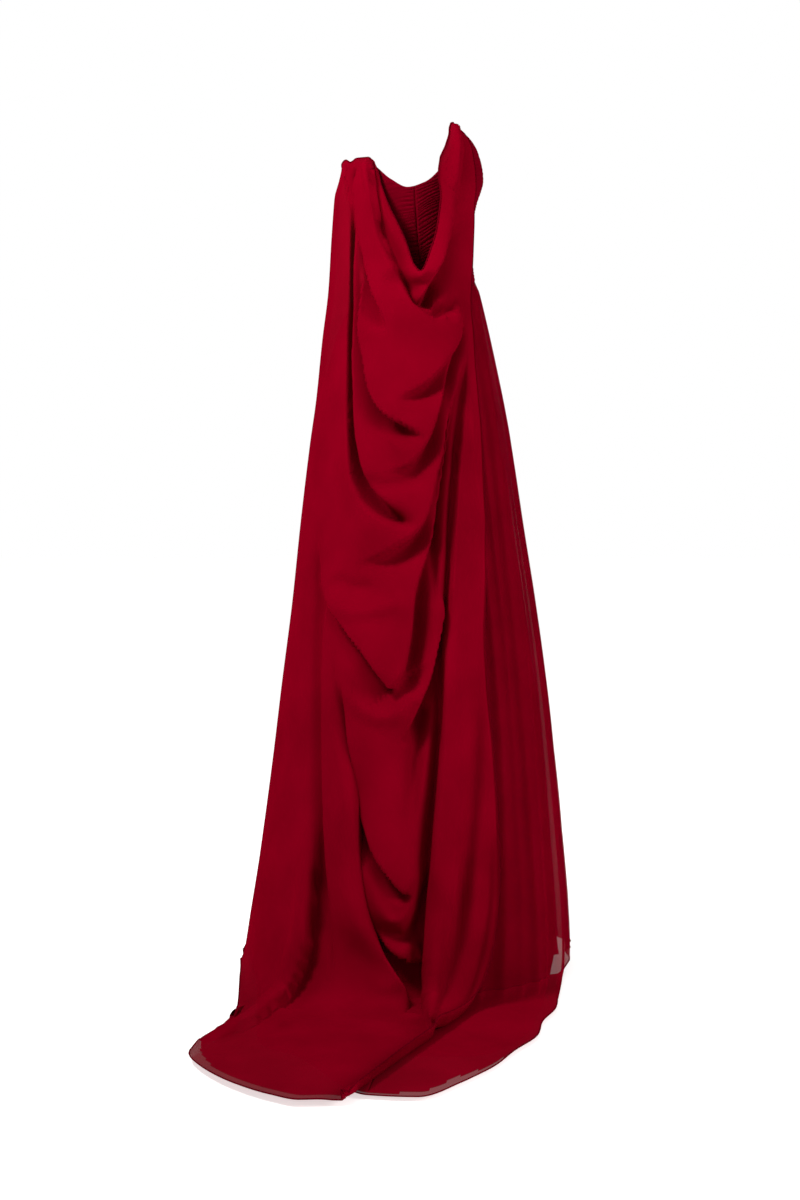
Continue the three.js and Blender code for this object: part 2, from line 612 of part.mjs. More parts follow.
// Outer face of the drape at a share of its width and a position along its length.
function drapePoint(share, along) {
  const { height, run } = settle(along);
  const angle = drapeAngle(share, height);
  const foot = section(DRAPE_SECTIONS, drapeAngle(share, 0), 0);
  const hem = new THREE.Vector2(
    column(DRAPE_HEM, 'share', share, 'forward') - foot.forward,
    column(DRAPE_HEM, 'share', share, 'right') - foot.right,
  ).normalize();
  const at = section(DRAPE_SECTIONS, angle, height);
  const seatHeight = share < SEAT_SHARE ? BACK_SEAT_HEIGHT : CUP_SEAT_HEIGHT;
  const ease = THREE.MathUtils.smoothstep(seatHeight - height, 0, EASE_DROP);
  const under = underDrape(angle, height, ease);
  const room = (at.forward - under.forward) * at.out.x + (at.right - under.right) * at.out.y;
  const free = THREE.MathUtils.smoothstep(seatHeight - height, 0, SEAT_DROP);
  const hang = Math.max(room, 0) * free - room;
  const folded = THREE.MathUtils.smoothstep(angle, FOLD_BACK_FROM, FOLD_BACK_TO);
  const spot = new THREE.Vector2(at.forward + at.out.x * hang + hem.x * run, along);
  let lift = 0;
  for (const fold of FOLD_LINES) lift += foldHeight(fold, spot);
  lift *= folded * free;
  const lying = THREE.MathUtils.smoothstep(run, HEAVE_FROM, HEAVE_TO);
  const deepest = -Math.max(room, 0) * free * HOLLOW_LIMIT;
  const push = hang + Math.max(lift, deepest) * (1 - lying);
  const heave = Math.max(lift, 0) * lying;
  return place(
    at.forward + at.out.x * push + hem.x * run,
    at.right + at.out.y * push + hem.y * run,
    height + DRAPE_LIE * nearFloor(along) + heave,
  );
}

// Position along the drape for a share of its length, from top edge to hem.
function drapeAlong(share, length) {
  const top = column(DRAPE_TOP, 'share', share, 'height');
  const foot = section(DRAPE_SECTIONS, drapeAngle(share, 0), 0);
  const hemRun = Math.hypot(
    column(DRAPE_HEM, 'share', share, 'forward') - foot.forward,
    column(DRAPE_HEM, 'share', share, 'right') - foot.right,
  );
  const low = -Math.max(hemRun - FLOOR_TURN ** 2 / Math.max(hemRun, FLOOR_TURN), 0);
  const { lerp, inverseLerp } = THREE.MathUtils;
  if (length < COWL_SHARE) return lerp(top, COWL_FOOT, length / COWL_SHARE);
  if (length < LYING_SHARE) {
    return lerp(COWL_FOOT, 0, inverseLerp(COWL_SHARE, LYING_SHARE, length));
  }
  return lerp(0, low, inverseLerp(LYING_SHARE, 1, length));
}

// One stretch of the drape over shares of its width and of its length, trimmed by
// half a gap on each side.
function drapeStretch(name, columns, rows, material) {
  const trimmed = (list, gap) => {
    const copy = [...list];
    copy[0] += gap;
    copy[copy.length - 1] -= gap;
    return copy;
  };
  const face = (u, v) => drapePoint(1 - u, drapeAlong(1 - u, v));
  const across = trimmed(columns, ACROSS_GAP).map((u) => 1 - u).reverse();
  return wall(name, face, across, trimmed(rows, ALONG_GAP), DRAPE_WALL, material);
}

// ---------------------------------------------------------------- materials

function cloth(color, roughness) {
  return new THREE.MeshStandardMaterial({ color, roughness, metalness: 0 });
}
const RUCHED_CHIFFON = cloth(0x7d0f22, 0.75);
const UNDER_FABRIC = cloth(0x6b0a18, 0.8);
const OUTER_CHIFFON = cloth(0x8c1026, 0.7);
const DRAPE_CHIFFON = cloth(0x9b0f2a, 0.65);

// ---------------------------------------------------------------- the gown

const RIGHT_SEAM = 0; // directions of the seams round the body
const LEFT_SEAM = 180;
const FULL_TURN = 360;

const group = new THREE.Group();
group.add(
  bodicePanel('bodice_front', RIGHT_SEAM, LEFT_SEAM, 22, 6, RUCHED_CHIFFON),
  bodicePanel('bodice_back_right', RIGHT_SEAM - 90, RIGHT_SEAM, 9, 5, RUCHED_CHIFFON),
  bodicePanel('bodice_back_left', LEFT_SEAM, LEFT_SEAM + 90, 9, 5, RUCHED_CHIFFON),
  skirtPanel('under_skirt_front', UNDER_LAYER, RIGHT_SEAM, LEFT_SEAM, UNDER_WALL, UNDER_FABRIC),
  skirtPanel('under_skirt_back', UNDER_LAYER, LEFT_SEAM, FULL_TURN, UNDER_WALL, UNDER_FABRIC),
  skirtPanel('outer_skirt_front', OUTER_LAYER, RIGHT_SEAM, LEFT_SEAM, CHIFFON_WALL, OUTER_CHIFFON),
  skirtPanel('outer_skirt_back', OUTER_LAYER, LEFT_SEAM, FULL_TURN, CHIFFON_WALL, OUTER_CHIFFON),
);

// The drape in stretches of its width and length: columns are closer together near
// the slot, and rows where it turns to lie on the floor.
const BACK_FALL = [0, 0.06, 0.12, 0.17, 0.205, 0.232, 0.258, SLOT_SHARE];
const SLOT_TO_PLEAT = even(SLOT_SHARE, PLEAT_SHARE, 18);
const FRONT_FALL = even(PLEAT_SHARE, 1, 4);
const TRAIN_TOP = 0.825;
const COWL_ROWS = even(0, COWL_SHARE, 7);
const HANGING_ROWS = even(COWL_SHARE, TRAIN_TOP, 31);
const FALL_ROWS = [...COWL_ROWS, ...HANGING_ROWS.slice(1)];
const TRAIN_ROWS = [TRAIN_TOP, 0.838, 0.85, 0.87, 0.91, 1];
const DRAPE_COLUMNS = [...BACK_FALL, ...SLOT_TO_PLEAT.slice(1), ...FRONT_FALL.slice(1)];
group.add(
  drapeStretch('drape_back_fall', BACK_FALL, FALL_ROWS, DRAPE_CHIFFON),
  drapeStretch('drape_cowl', SLOT_TO_PLEAT, COWL_ROWS, DRAPE_CHIFFON),
  drapeStretch('drape_cascade', SLOT_TO_PLEAT, HANGING_ROWS, DRAPE_CHIFFON),
  drapeStretch('drape_front_fall', FRONT_FALL, FALL_ROWS, DRAPE_CHIFFON),
  drapeStretch('drape_train', DRAPE_COLUMNS, TRAIN_ROWS, DRAPE_CHIFFON),
);

export default group;
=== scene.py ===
"""Looks of a strapless silk-chiffon gown with a one-sided cowl drape and a train.

The tables are in millimetres: forward of the body's axis, to the wearer's right of
it, and height above the floor. Directions round the body are in degrees: 0 is the
right side seam, 90 the centre front, 180 the left side seam and -90 the centre back.
What is built is in metres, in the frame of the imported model. Names that end in _f and
_r are the forward and right parts of one thing.
"""

import logging
import math
from dataclasses import dataclass
from enum import Enum
from typing import Sequence

import bmesh
import bpy
import numpy as np
from mathutils import Matrix, Vector


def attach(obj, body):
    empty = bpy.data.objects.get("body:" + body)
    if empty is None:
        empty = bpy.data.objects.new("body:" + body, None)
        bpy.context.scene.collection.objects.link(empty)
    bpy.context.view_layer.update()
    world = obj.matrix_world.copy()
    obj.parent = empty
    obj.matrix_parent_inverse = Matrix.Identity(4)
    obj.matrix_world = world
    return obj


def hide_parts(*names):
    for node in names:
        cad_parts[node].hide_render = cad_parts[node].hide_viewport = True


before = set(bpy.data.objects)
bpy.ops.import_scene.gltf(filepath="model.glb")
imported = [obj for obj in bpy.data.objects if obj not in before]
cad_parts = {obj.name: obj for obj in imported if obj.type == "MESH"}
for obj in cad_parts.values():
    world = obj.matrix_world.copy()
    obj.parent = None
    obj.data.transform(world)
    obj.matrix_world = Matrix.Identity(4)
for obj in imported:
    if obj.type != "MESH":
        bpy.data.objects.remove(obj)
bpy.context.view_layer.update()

log = logging.getLogger("gown")

Array = np.ndarray
MM = 0.001
UNDERARM_HEIGHT = 1272.0  # the frame's origin above the floor
WAIST_HEIGHT = 1127.0  # waist seam
FLOOR_TURN = 22.0  # how softly cloth turns from hanging to lying
NEAR_FLOOR = (40.0, 200.0)  # cloth lies on what is under it below the first, hangs above
TINY = 1e-9  # keeps a division from failing


# ------------------------------------------------------------------ small helpers


def smooth(value: Array, low: float, high: float) -> Array:
    """Smooth step from 0 at low to 1 at high, which may also be the smaller of the two."""
    t = np.clip((value - low) / (high - low), 0.0, 1.0)
    return t * t * (3.0 - 2.0 * t)


def blend(low: Array, high: Array, share: Array) -> Array:
    """Value between low and high at a share."""
    return low + (high - low) * share


def bell(value: Array, breadth: float) -> Array:
    """Bell curve of a breadth, 1 at zero."""
    return np.exp(-((value / breadth) ** 2))


def settle(along: Array) -> tuple[Array, Array]:
    """Height and floor run of cloth that hangs and then lies.

    Args:
        along: Height while the cloth hangs, minus its run once it lies.

    Returns:
        The real height and the run along the floor.
    """
    height = (along + np.hypot(along, 2.0 * FLOOR_TURN)) / 2.0
    return height, height - along


def hem_end(length: Array) -> Array:
    """Where cloth ends whose hem lies a length out on the floor, as settle takes it."""
    return np.minimum(FLOOR_TURN**2 / np.maximum(length, FLOOR_TURN) - length, 0.0)


def lies_low(along: Array) -> Array:
    """1 where cloth lies or almost does, 0 where it hangs well above the floor."""
    return 1.0 - smooth(along, *NEAR_FLOOR)


def even_grid(shape: tuple[int, int]) -> tuple[Array, Array]:
    """Shares across and down of each place on an even grid.

    Args:
        shape: Its columns and rows.

    Returns:
        The shares across and the shares down.
    """
    columns, rows = shape
    across, down = np.meshgrid(np.linspace(0.0, 1.0, columns), np.linspace(0.0, 1.0, rows))
    return across, down


def spaced(marks: Sequence[float], counts: Sequence[int]) -> Array:
    """Shares from 0 to 1, evenly spaced from mark to mark.

    Args:
        marks: Shares where the spacing changes.
        counts: How many places each stretch has.

    Returns:
        The shares.
    """
    ends = (0.0, *marks, 1.0)
    stretches = zip(ends, ends[1:], counts)
    return np.concatenate([
        np.linspace(start, end, count, endpoint=end == 1.0) for start, end, count in stretches
    ])


class Table:
    """Rows of named columns, read smoothly along the first one."""

    def __init__(self, names: str, *rows: Sequence[float]) -> None:
        """Keeps the rows in rising order of the first column.

        Args:
            names: The columns' names, apart by spaces.
            rows: One row of numbers for each place.
        """
        self.names = names.split()
        data = np.array(rows, float)
        self.data = data[np.argsort(data[:, 0])]

    def read(self, name: str, at: Array) -> Array:
        """Value of a column at places along the first column.

        Args:
            name: The column.
            at: Places along the first column.

        Returns:
            The values, on a curve that never swings past the rows.
        """
        x = self.data[:, 0]
        y = self.data[:, self.names.index(name)]
        slope = np.diff(y) / np.diff(x)
        tangent = np.empty_like(y)
        tangent[0], tangent[-1] = slope[0], slope[-1]
        before, after = slope[:-1], slope[1:]
        turns = before * after <= 0.0
        total = np.where(turns, 1.0, before + after)
        tangent[1:-1] = np.where(turns, 0.0, 2.0 * before * after / total)
        i = np.clip(np.searchsorted(x, at, side="right") - 1, 0, len(x) - 2)
        here, there = tangent[i], tangent[i + 1]
        span = x[i + 1] - x[i]
        t = np.clip((at - x[i]) / span, 0.0, 1.0)
        t2, t3 = t * t, t * t * t
        return (
            (2 * t3 - 3 * t2 + 1) * y[i]
            + (t3 - 2 * t2 + t) * span * here
            + (3 * t2 - 2 * t3) * y[i + 1]
            + (t3 - t2) * span * there
        )


@dataclass
class Ring:
    """Places on horizontal sections of a form, with the outward direction there."""

    forward: Array
    right: Array
    out_forward: Array
    out_right: Array

    def pushed(self, by: Array) -> tuple[Array, Array]:
        """Forward and right of the places moved outwards."""
        return self.forward + self.out_forward * by, self.right + self.out_right * by


def ring(table: Table, angle: Array, height: Array) -> Ring:
    """Places round a form at directions and heights.

    Args:
        table: Sections by height: centre, front, back, right, perhaps left and corner.
        angle: Directions in degrees.
        height: Heights above the floor.

    Returns:
        The places.
    """
    corner = table.read("corner", height) if "corner" in table.names else 2.0
    left = "left" if "left" in table.names else "right"
    sin, cos = np.sin(np.radians(angle)), np.cos(np.radians(angle))
    centre = table.read("centre", height)
    deep = np.where(
        sin > 0.0, table.read("front", height) - centre, centre - table.read("back", height)
    )
    wide = np.where(cos > 0.0, table.read("right", height), table.read(left, height))
    out = np.hypot(sin / deep, cos / wide)
    return Ring(
        forward=centre + deep * np.sign(sin) * np.abs(sin) ** (2.0 / corner),
        right=wide * np.sign(cos) * np.abs(cos) ** (2.0 / corner),
        out_forward=sin / deep / out,
        out_right=cos / wide / out,
    )


def in_frame(spots: Array) -> Array:
    """Places given as forward, right and height, in the model's frame in metres."""
    forward, right, height = spots[..., 0], spots[..., 1], spots[..., 2]
    return np.stack([-right, -forward, height - UNDERARM_HEIGHT], axis=-1) * MM


def unit(vectors: Array) -> Array:
    """Vectors of length one."""
    size = np.linalg.norm(vectors, axis=-1, keepdims=True)
    return vectors / np.maximum(size, TINY)


def facing(spots: Array) -> Array:
    """Outward directions of a grid of spots whose columns run forward and rows down."""
    return unit(np.cross(np.gradient(spots, axis=1), np.gradient(spots, axis=0)))


def on_right(angle: Array) -> Array:
    """Directions mirrored to the right side, for what is alike on both sides."""
    return np.where(angle > 90.0, 180.0 - angle, angle)


def add_object(name: str, data: bpy.types.ID) -> bpy.types.Object:
    """Adds an object to the scene.

    Args:
        name: The object's name.
        data: What it holds: a mesh, a light or a camera.

    Returns:
        The object.
    """
    made = bpy.data.objects.new(name, data)
    bpy.context.scene.collection.objects.link(made)
    return made


def add_shape(
    name: str, shape: bmesh.types.BMesh, *finishes: bpy.types.Material
) -> bpy.types.Object:
    """Adds a shape to the scene.

    Args:
        name: The object's name.
        shape: The shape, which is given up.
        finishes: Its finishes, in the order of its faces' numbers.

    Returns:
        The object.
    """
    mesh = bpy.data.meshes.new(name)
    shape.to_mesh(mesh)
    shape.free()
    for finish in finishes:
        mesh.materials.append(finish)
    return add_object(name, mesh)


def turn_along(holder: bpy.types.Object, way: Vector) -> None:
    """Turns a light or a camera to look along a direction."""
    holder.rotation_euler = way.to_track_quat("-Z", "Y").to_euler()


# ------------------------------------------------------------------ finishes


def linear(code: str) -> tuple[float, float, float, float]:
    """Turns an sRGB colour to linear light.

    Args:
        code: The colour as a hex code such as '#9A0126'.

    Returns:
        Red, green and blue from 0 to 1, and a full alpha.
    """
    parts = [int(code[i : i + 2], 16) / 255.0 for i in (1, 3, 5)]
    value = [c / 12.92 if c <= 0.04045 else ((c + 0.055) / 1.055) ** 2.4 for c in parts]
    return (value[0], value[1], value[2], 1.0)


def add_node(
    tree: bpy.types.NodeTree,
    kind: str,
    settings: dict[str, object] | None = None,
    links: dict[str, bpy.types.NodeSocket] | None = None,
) -> bpy.types.Node:
    """Adds a node with its settings and links.

    Args:
        tree: The node tree.
        kind: The node's type.
        settings: Values by socket name, or by property name where no socket has it.
        links: Sockets of other nodes by the name of the input that they feed.

    Returns:
        The node.
    """
    node = tree.nodes.new(kind)
    for name, value in (settings or {}).items():
        if name in node.inputs:
            node.inputs[name].default_value = value
        else:
            setattr(node, name, value)
    for name, socket in (links or {}).items():
        tree.links.new(socket, node.inputs[name])
    return node


class Layer(Enum):
    """How much a cloth hides of what is behind it."""

    OPAQUE = 1.0
    DOUBLED = 0.97
    SINGLE = 0.8
    SHEER = 0.68


@dataclass(frozen=True)
class SilkCloth:
    """Plain-woven silk, piece-dyed: a matt face with a soft bloom at its edges.

    The weave shows as a faint grain, and slubs as slightly lighter and darker threads.
    """

    name: str
    colour: str
    shade: str
    layer: Layer
    roughness: float = 0.6
    bloom: float = 0.16
    bloom_roughness: float = 0.45
    bloom_colour: str = "#C00024"
    grain_mm: float = 1.1  # drawn coarser than the real 0.3 mm threads, so that it shows
    grain_depth_mm: float = 0.05
    grain_strength: float = 0.35
    grain_softness: float = 0.6
    cloud_mm: float = 90.0  # size of the soft light and dark areas of the dye
    thread_share: float = 0.5  # how much of the light and dark is threads, not clouds
    all_shade: float = 0.36  # the mottling is all shade below this
    all_colour: float = 0.64  # and all colour above this

    def material(self) -> bpy.types.Material:
        """Builds the material on the cloth's own coordinates.

        Returns:
            The material.
        """
        made = bpy.data.materials.new(self.name)
        made.use_nodes = True
        tree = made.node_tree
        tree.nodes.clear()
        coords = add_node(tree, "ShaderNodeTexCoord").outputs
        threads = add_node(
            tree,
            "ShaderNodeTexNoise",
            {
                "Scale": 1.0 / (self.grain_mm * MM),
                "Detail": 2.0,
                "Roughness": self.grain_softness,
            },
            {"Vector": coords["UV"]},
        )
        clouds = add_node(
            tree,
            "ShaderNodeTexNoise",
            {"Scale": 1.0 / (self.cloud_mm * MM), "Detail": 3.0},
            {"Vector": coords["Object"]},
        )
        mottle = add_node(
            tree,
            "ShaderNodeMix",
            {"data_type": "FLOAT", "Factor": self.thread_share},
            {"A": clouds.outputs["Fac"], "B": threads.outputs["Fac"]},
        )
        dye = add_node(tree, "ShaderNodeValToRGB", {}, {"Fac": mottle.outputs["Result"]})
        ends = ((self.all_shade, self.shade), (self.all_colour, self.colour))
        for stop, (position, code) in zip(dye.color_ramp.elements, ends):
            stop.position = position
            stop.color = linear(code)
        bump = add_node(
            tree,
            "ShaderNodeBump",
            {"Strength": self.grain_strength, "Distance": self.grain_depth_mm * MM},
            {"Height": threads.outputs["Fac"]},
        )
        shader = add_node(
            tree,
            "ShaderNodeBsdfPrincipled",
            {
                "Roughness": self.roughness,
                "Sheen Weight": self.bloom,
                "Sheen Roughness": self.bloom_roughness,
                "Sheen Tint": linear(self.bloom_colour),
                "Specular IOR Level": 0.0,
                "Alpha": self.layer.value,
            },
            {"Base Color": dye.outputs["Color"], "Normal": bump.outputs["Normal"]},
        )
        add_node(tree, "ShaderNodeOutputMaterial", {}, {"Surface": shader.outputs["BSDF"]})
        return made


# ------------------------------------------------------------------ cloth


@dataclass
class ClothSheet:
    """One piece of cloth on a grid: its name, slot, finish, wall and what it replaces."""

    name: str
    slot: str
    finish: bpy.types.Material
    wall_mm: float
    nodes: tuple[str, ...]
    held: str
    rests_on: tuple[str, ...]
    plies: bpy.types.Material | None = None  # finish where the cloth lies in another ply

    def shape(
        self, places: Array, size: tuple[float, float], other: Array | None
    ) -> bmesh.types.BMesh:
        """Makes the sheet's faces.

        Args:
            places: Rows and columns of places in metres.
            size: Width and length of the cloth in metres, for its own coordinates.
            other: For each place, whether the cloth has its other finish from there on.

        Returns:
            The shape, with its faces turned outwards.
        """
        rows, columns = places.shape[:2]
        shape = bmesh.new()
        cloth = shape.loops.layers.uv.new("Cloth")
        bmesh.ops.create_grid(
            shape, x_segments=columns - 1, y_segments=rows - 1, size=0.5, calc_uvs=True
        )
        for face in shape.faces:
            face.smooth = True
            for corner in face.loops:
                share = corner[cloth].uv
                corner[cloth].uv = (share[0] * size[0], share[1] * size[1])
        for vertex, place in zip(shape.verts, places.reshape(-1, 3)):
            vertex.co = place
        if other is not None:
            chosen = other.reshape(-1)
            for face in shape.faces:
                first = min(vertex.index for vertex in face.verts)
                face.material_index = int(chosen[first])
        shape.normal_update()
        bmesh.ops.reverse_faces(shape, faces=shape.faces)
        return shape

    def lay(
        self,
        spots: Array,
        other: Array | None = None,
    ) -> None:
        """Args:
            spots: Rows from top to hem, columns round the body towards the front, each
                forward, right and height in millimetres.
            other: For each spot, whether the cloth has its other finish from there on.
        """
        places = in_frame(spots)
        width = float(np.linalg.norm(np.diff(places, axis=1), axis=-1).sum(axis=1).mean())
        length = float(np.linalg.norm(np.diff(places, axis=0), axis=-1).sum(axis=0).mean())
        shape = self.shape(places, (width, length), other)
        area = sum(face.calc_area() for face in shape.faces)
        finishes = [finish for finish in (self.finish, self.plies) if finish is not None]
        piece = add_shape(self.name, shape, *finishes)
        wall = piece.modifiers.new("Wall", "SOLIDIFY")
        wall.thickness = self.wall_mm * MM
        wall.offset = -1.0  # the wall lies inside the outer face
        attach(piece, "root")
        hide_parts(*self.nodes)
        length = max(length, area / width)
        rows, columns = places.shape[:2]
        log.info("%s: %d x %d, %.2f square metres", self.name, columns, rows, area)


@dataclass
class RolledHem:
    """A narrow rolled hem along an edge of cloth: a thin cord of doubled chiffon."""

    name: str
    slot: str
    finish: bpy.types.Material
    radius_mm: float = 1.1
    sides: int = 6

    def sew(self, edge: Array) -> bpy.types.Object:
        """Makes the hem along an edge.

        Args:
            edge: Spots along the edge, forward, right and height in millimetres.

        Returns:
            The hem's object.
        """
        path = [Vector(p) for p in in_frame(edge)]
        shape = bmesh.new()
        circle = bmesh.ops.create_circle(
            shape, cap_ends=False, segments=self.sides, radius=self.radius_mm * MM
        )
        loop = circle["verts"]
        before = path[1] - path[0]
        turn = Vector((0.0, 0.0, 1.0)).rotation_difference(before).to_matrix().to_4x4()
        bmesh.ops.transform(shape, matrix=Matrix.Translation(path[0]) @ turn, verts=loop)
        edges = list(shape.edges)
        bmesh.ops.contextual_create(shape, geom=edges)
        for i in range(1, len(path)):
            after = path[min(i + 1, len(path) - 1)] - path[i - 1]
            bend = before.rotation_difference(after).to_matrix().to_4x4()
            out = bmesh.ops.extrude_edge_only(shape, edges=edges)["geom"]
            loop = [g for g in out if isinstance(g, bmesh.types.BMVert)]
            edges = [g for g in out if isinstance(g, bmesh.types.BMEdge)]
            move = Matrix.Translation(path[i]) @ bend @ Matrix.Translation(-path[i - 1])
            bmesh.ops.transform(shape, matrix=move, verts=loop)
            before = after
        bmesh.ops.contextual_create(shape, geom=edges)
        bmesh.ops.recalc_face_normals(shape, faces=shape.faces)
        for face in shape.faces:
            face.smooth = True
        piece = add_shape(self.name, shape, self.finish)
        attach(piece, "root")
        log.info("%s: %d steps", self.name, len(path))
        return piece


# ------------------------------------------------------------------ bodice


@dataclass
class Bodice:
    """Boned bodice with two cups, covered with ruched chiffon."""

    finish: bpy.types.Material
    wall_mm: float = 3.0
    bust_angle: float = 50.0  # direction of each cup's fullest place
    bust_spread: float = 24.0
    radius: float = 120.0  # of the body, for lengths round it
    pleat: float = 5.4  # distance between two folds of the ruching
    pleat_depth: float = 2.2
    front_slope: float = 0.5  # the folds rise so much towards the bust at the side seam
    front_reach: float = 190.0  # and lie level again this far from it
    back_slope: float = 0.13
    ridge_sharpness: float = 0.75
    pleat_strength: float = 0.62  # share of the pleat's depth that a fold has on average
    edge_turn: float = 5.0  # the ruching flattens within this of an edge or seam
    edge_share: float = 0.35  # and lies this share of a pleat's depth inside
    seam_depth: float = 1.6  # the cover dips so deep into a seam
    seam_breadth: float = 2.2
    top_roll: float = 1.1  # the cover rounds over the top edge by this
    top_breadth: float = 1.6
    wanders: tuple[tuple[float, float, float, float], ...] = (
        # swing, length round the body, length down it, start: the folds aren't straight
        (1.5, 31.0, 17.0, 0.0), (0.9, 12.0, -9.0, 1.3),
    )
    crowdings: tuple[tuple[float, float], ...] = (
        # swing in pleats, length down the body: some folds lie closer than others
        (0.5, 14.0), (0.25, 5.3),
    )
    swells: tuple[tuple[float, float, float], ...] = (
        # swing, length round the body, change from fold to fold: each swells and dies
        (0.25, 19.0, 2.1), (0.13, 7.0, 1.7),
    )
    sections: Table = Table(
        "height centre front back right left bust",
        (1127, 8, 98, -77, 115, 115, 0), (1170, 6, 93, -88, 118, 118, 1),
        (1210, 3, 92, -98, 123, 123, 5), (1250, 0, 98, -106, 129, 129, 11),
        (1290, -2, 108, -112, 133, 133, 16), (1330, -3, 102, -117, 133, 133, 13),
        (1373, -5, 86, -120, 130, 130, 4),
    )
    top_edge: Table = Table(
        "angle height",
        (-90, 1318), (-60, 1316), (-38, 1311), (-20, 1286), (-6, 1273), (9, 1281), (23, 1305),
        (35, 1341), (45, 1366), (51, 1362), (57, 1356), (65, 1338), (74, 1315), (90, 1296),
    )

    def top(self, angle: Array) -> Array:
        """Height of the top edge in any direction."""
        return self.top_edge.read("height", on_right(angle))

    def surface(self, angle: Array, height: Array, clear: Array | float = 0.0) -> Ring:
        """Outer face of the foundation.

        Args:
            angle: Directions round the body.
            height: Heights above the floor.
            clear: How far the places are pushed out from it.

        Returns:
            The places.
        """
        here = ring(self.sections, angle, height)
        bust = self.sections.read("bust", height)
        cups = bell(angle - self.bust_angle, self.bust_spread)
        cups = cups + bell(angle - 180.0 + self.bust_angle, self.bust_spread)
        here.forward, here.right = here.pushed(clear + bust * cups)
        return here

    def ruching(self, angle: Array, height: Array) -> Array:
        """How far the ruched cover lies inside the bodice's outline.

        Args:
            angle: Directions round the body.
            height: Heights above the floor.

        Returns:
            Depths in millimetres, from 0 on a fold to the pleat's depth beside it.
        """
        folded = on_right(angle)
        run = np.radians(np.abs(folded)) * self.radius
        rise = np.where(
            folded > 0.0,
            self.front_slope * run * (1.0 - run / (2.0 * self.front_reach)),
            -self.back_slope * run,
        )
        level = height - rise
        side = np.radians(angle) * self.radius
        for swing, round_body, down, start in self.wanders:
            level = level + swing * np.sin(side / round_body + level / down + start)
        phase = level / self.pleat
        for swing, down in self.crowdings:
            phase = phase + swing * np.sin(level / down)
        ridge = np.abs(np.sin(np.pi * phase)) ** self.ridge_sharpness
        strength = self.pleat_strength
        for swing, round_body, change in self.swells:
            strength = strength + swing * np.sin(side / round_body + change * np.floor(phase))
        return self.pleat_depth * (1.0 - ridge) * strength

    def panel(self, name: str, low: float, high: float, shape: tuple[int, int]) -> None:
        """Builds one panel between two directions.

        Args:
            name: The panel's name, which is also its node's with the word cover.
            low: Direction of its first seam.
            high: Direction of its last seam.
            shape: Columns and rows of its grid.
        """
        across, down = even_grid(shape)
        angle = blend(low, high, across)
        height = blend(self.top(angle), WAIST_HEIGHT, down)
        from_seam = np.radians(np.minimum(angle - low, high - angle)) * self.radius
        from_top = self.top(angle) - height
        flat = smooth(from_seam, 0.0, self.edge_turn) * smooth(from_top, 0.0, self.edge_turn)
        inset = blend(self.pleat_depth * self.edge_share, self.ruching(angle, height), flat)
        inset = inset + self.seam_depth * (1.0 - smooth(from_seam, 0.0, self.seam_breadth))
        inset = inset + self.top_roll * (1.0 - smooth(from_top, 0.0, self.top_breadth))
        here = self.surface(angle, height, -inset)
        spots = np.stack([here.forward, here.right, height], axis=-1)
        sheet = ClothSheet(
            name=f"{name}_cover",
            slot="ruched_chiffon",
            finish=self.finish,
            wall_mm=self.wall_mm,
            nodes=(name,),
            held="stretched",
            rests_on=(),
        )
        sheet.lay(spots)

    def build(self) -> None:
        """Builds the front and the two backs."""
        self.panel("bodice_front", 0.0, 180.0, (170, 200))
        self.panel("bodice_back_right", -90.0, 0.0, (72, 170))
        self.panel("bodice_back_left", 180.0, 270.0, (72, 170))


# ------------------------------------------------------------------ folds


FOLD_REACH = 2.6  # a fold counts as far as this many of its breadths
LEAN_ABOVE = 0.45  # its lip leans over this share of inner
LEAN_BELOW = 0.6  # and the cloth below it over this share of outer
LEAN_BACK = 0.3  # by this share of the lip's lean


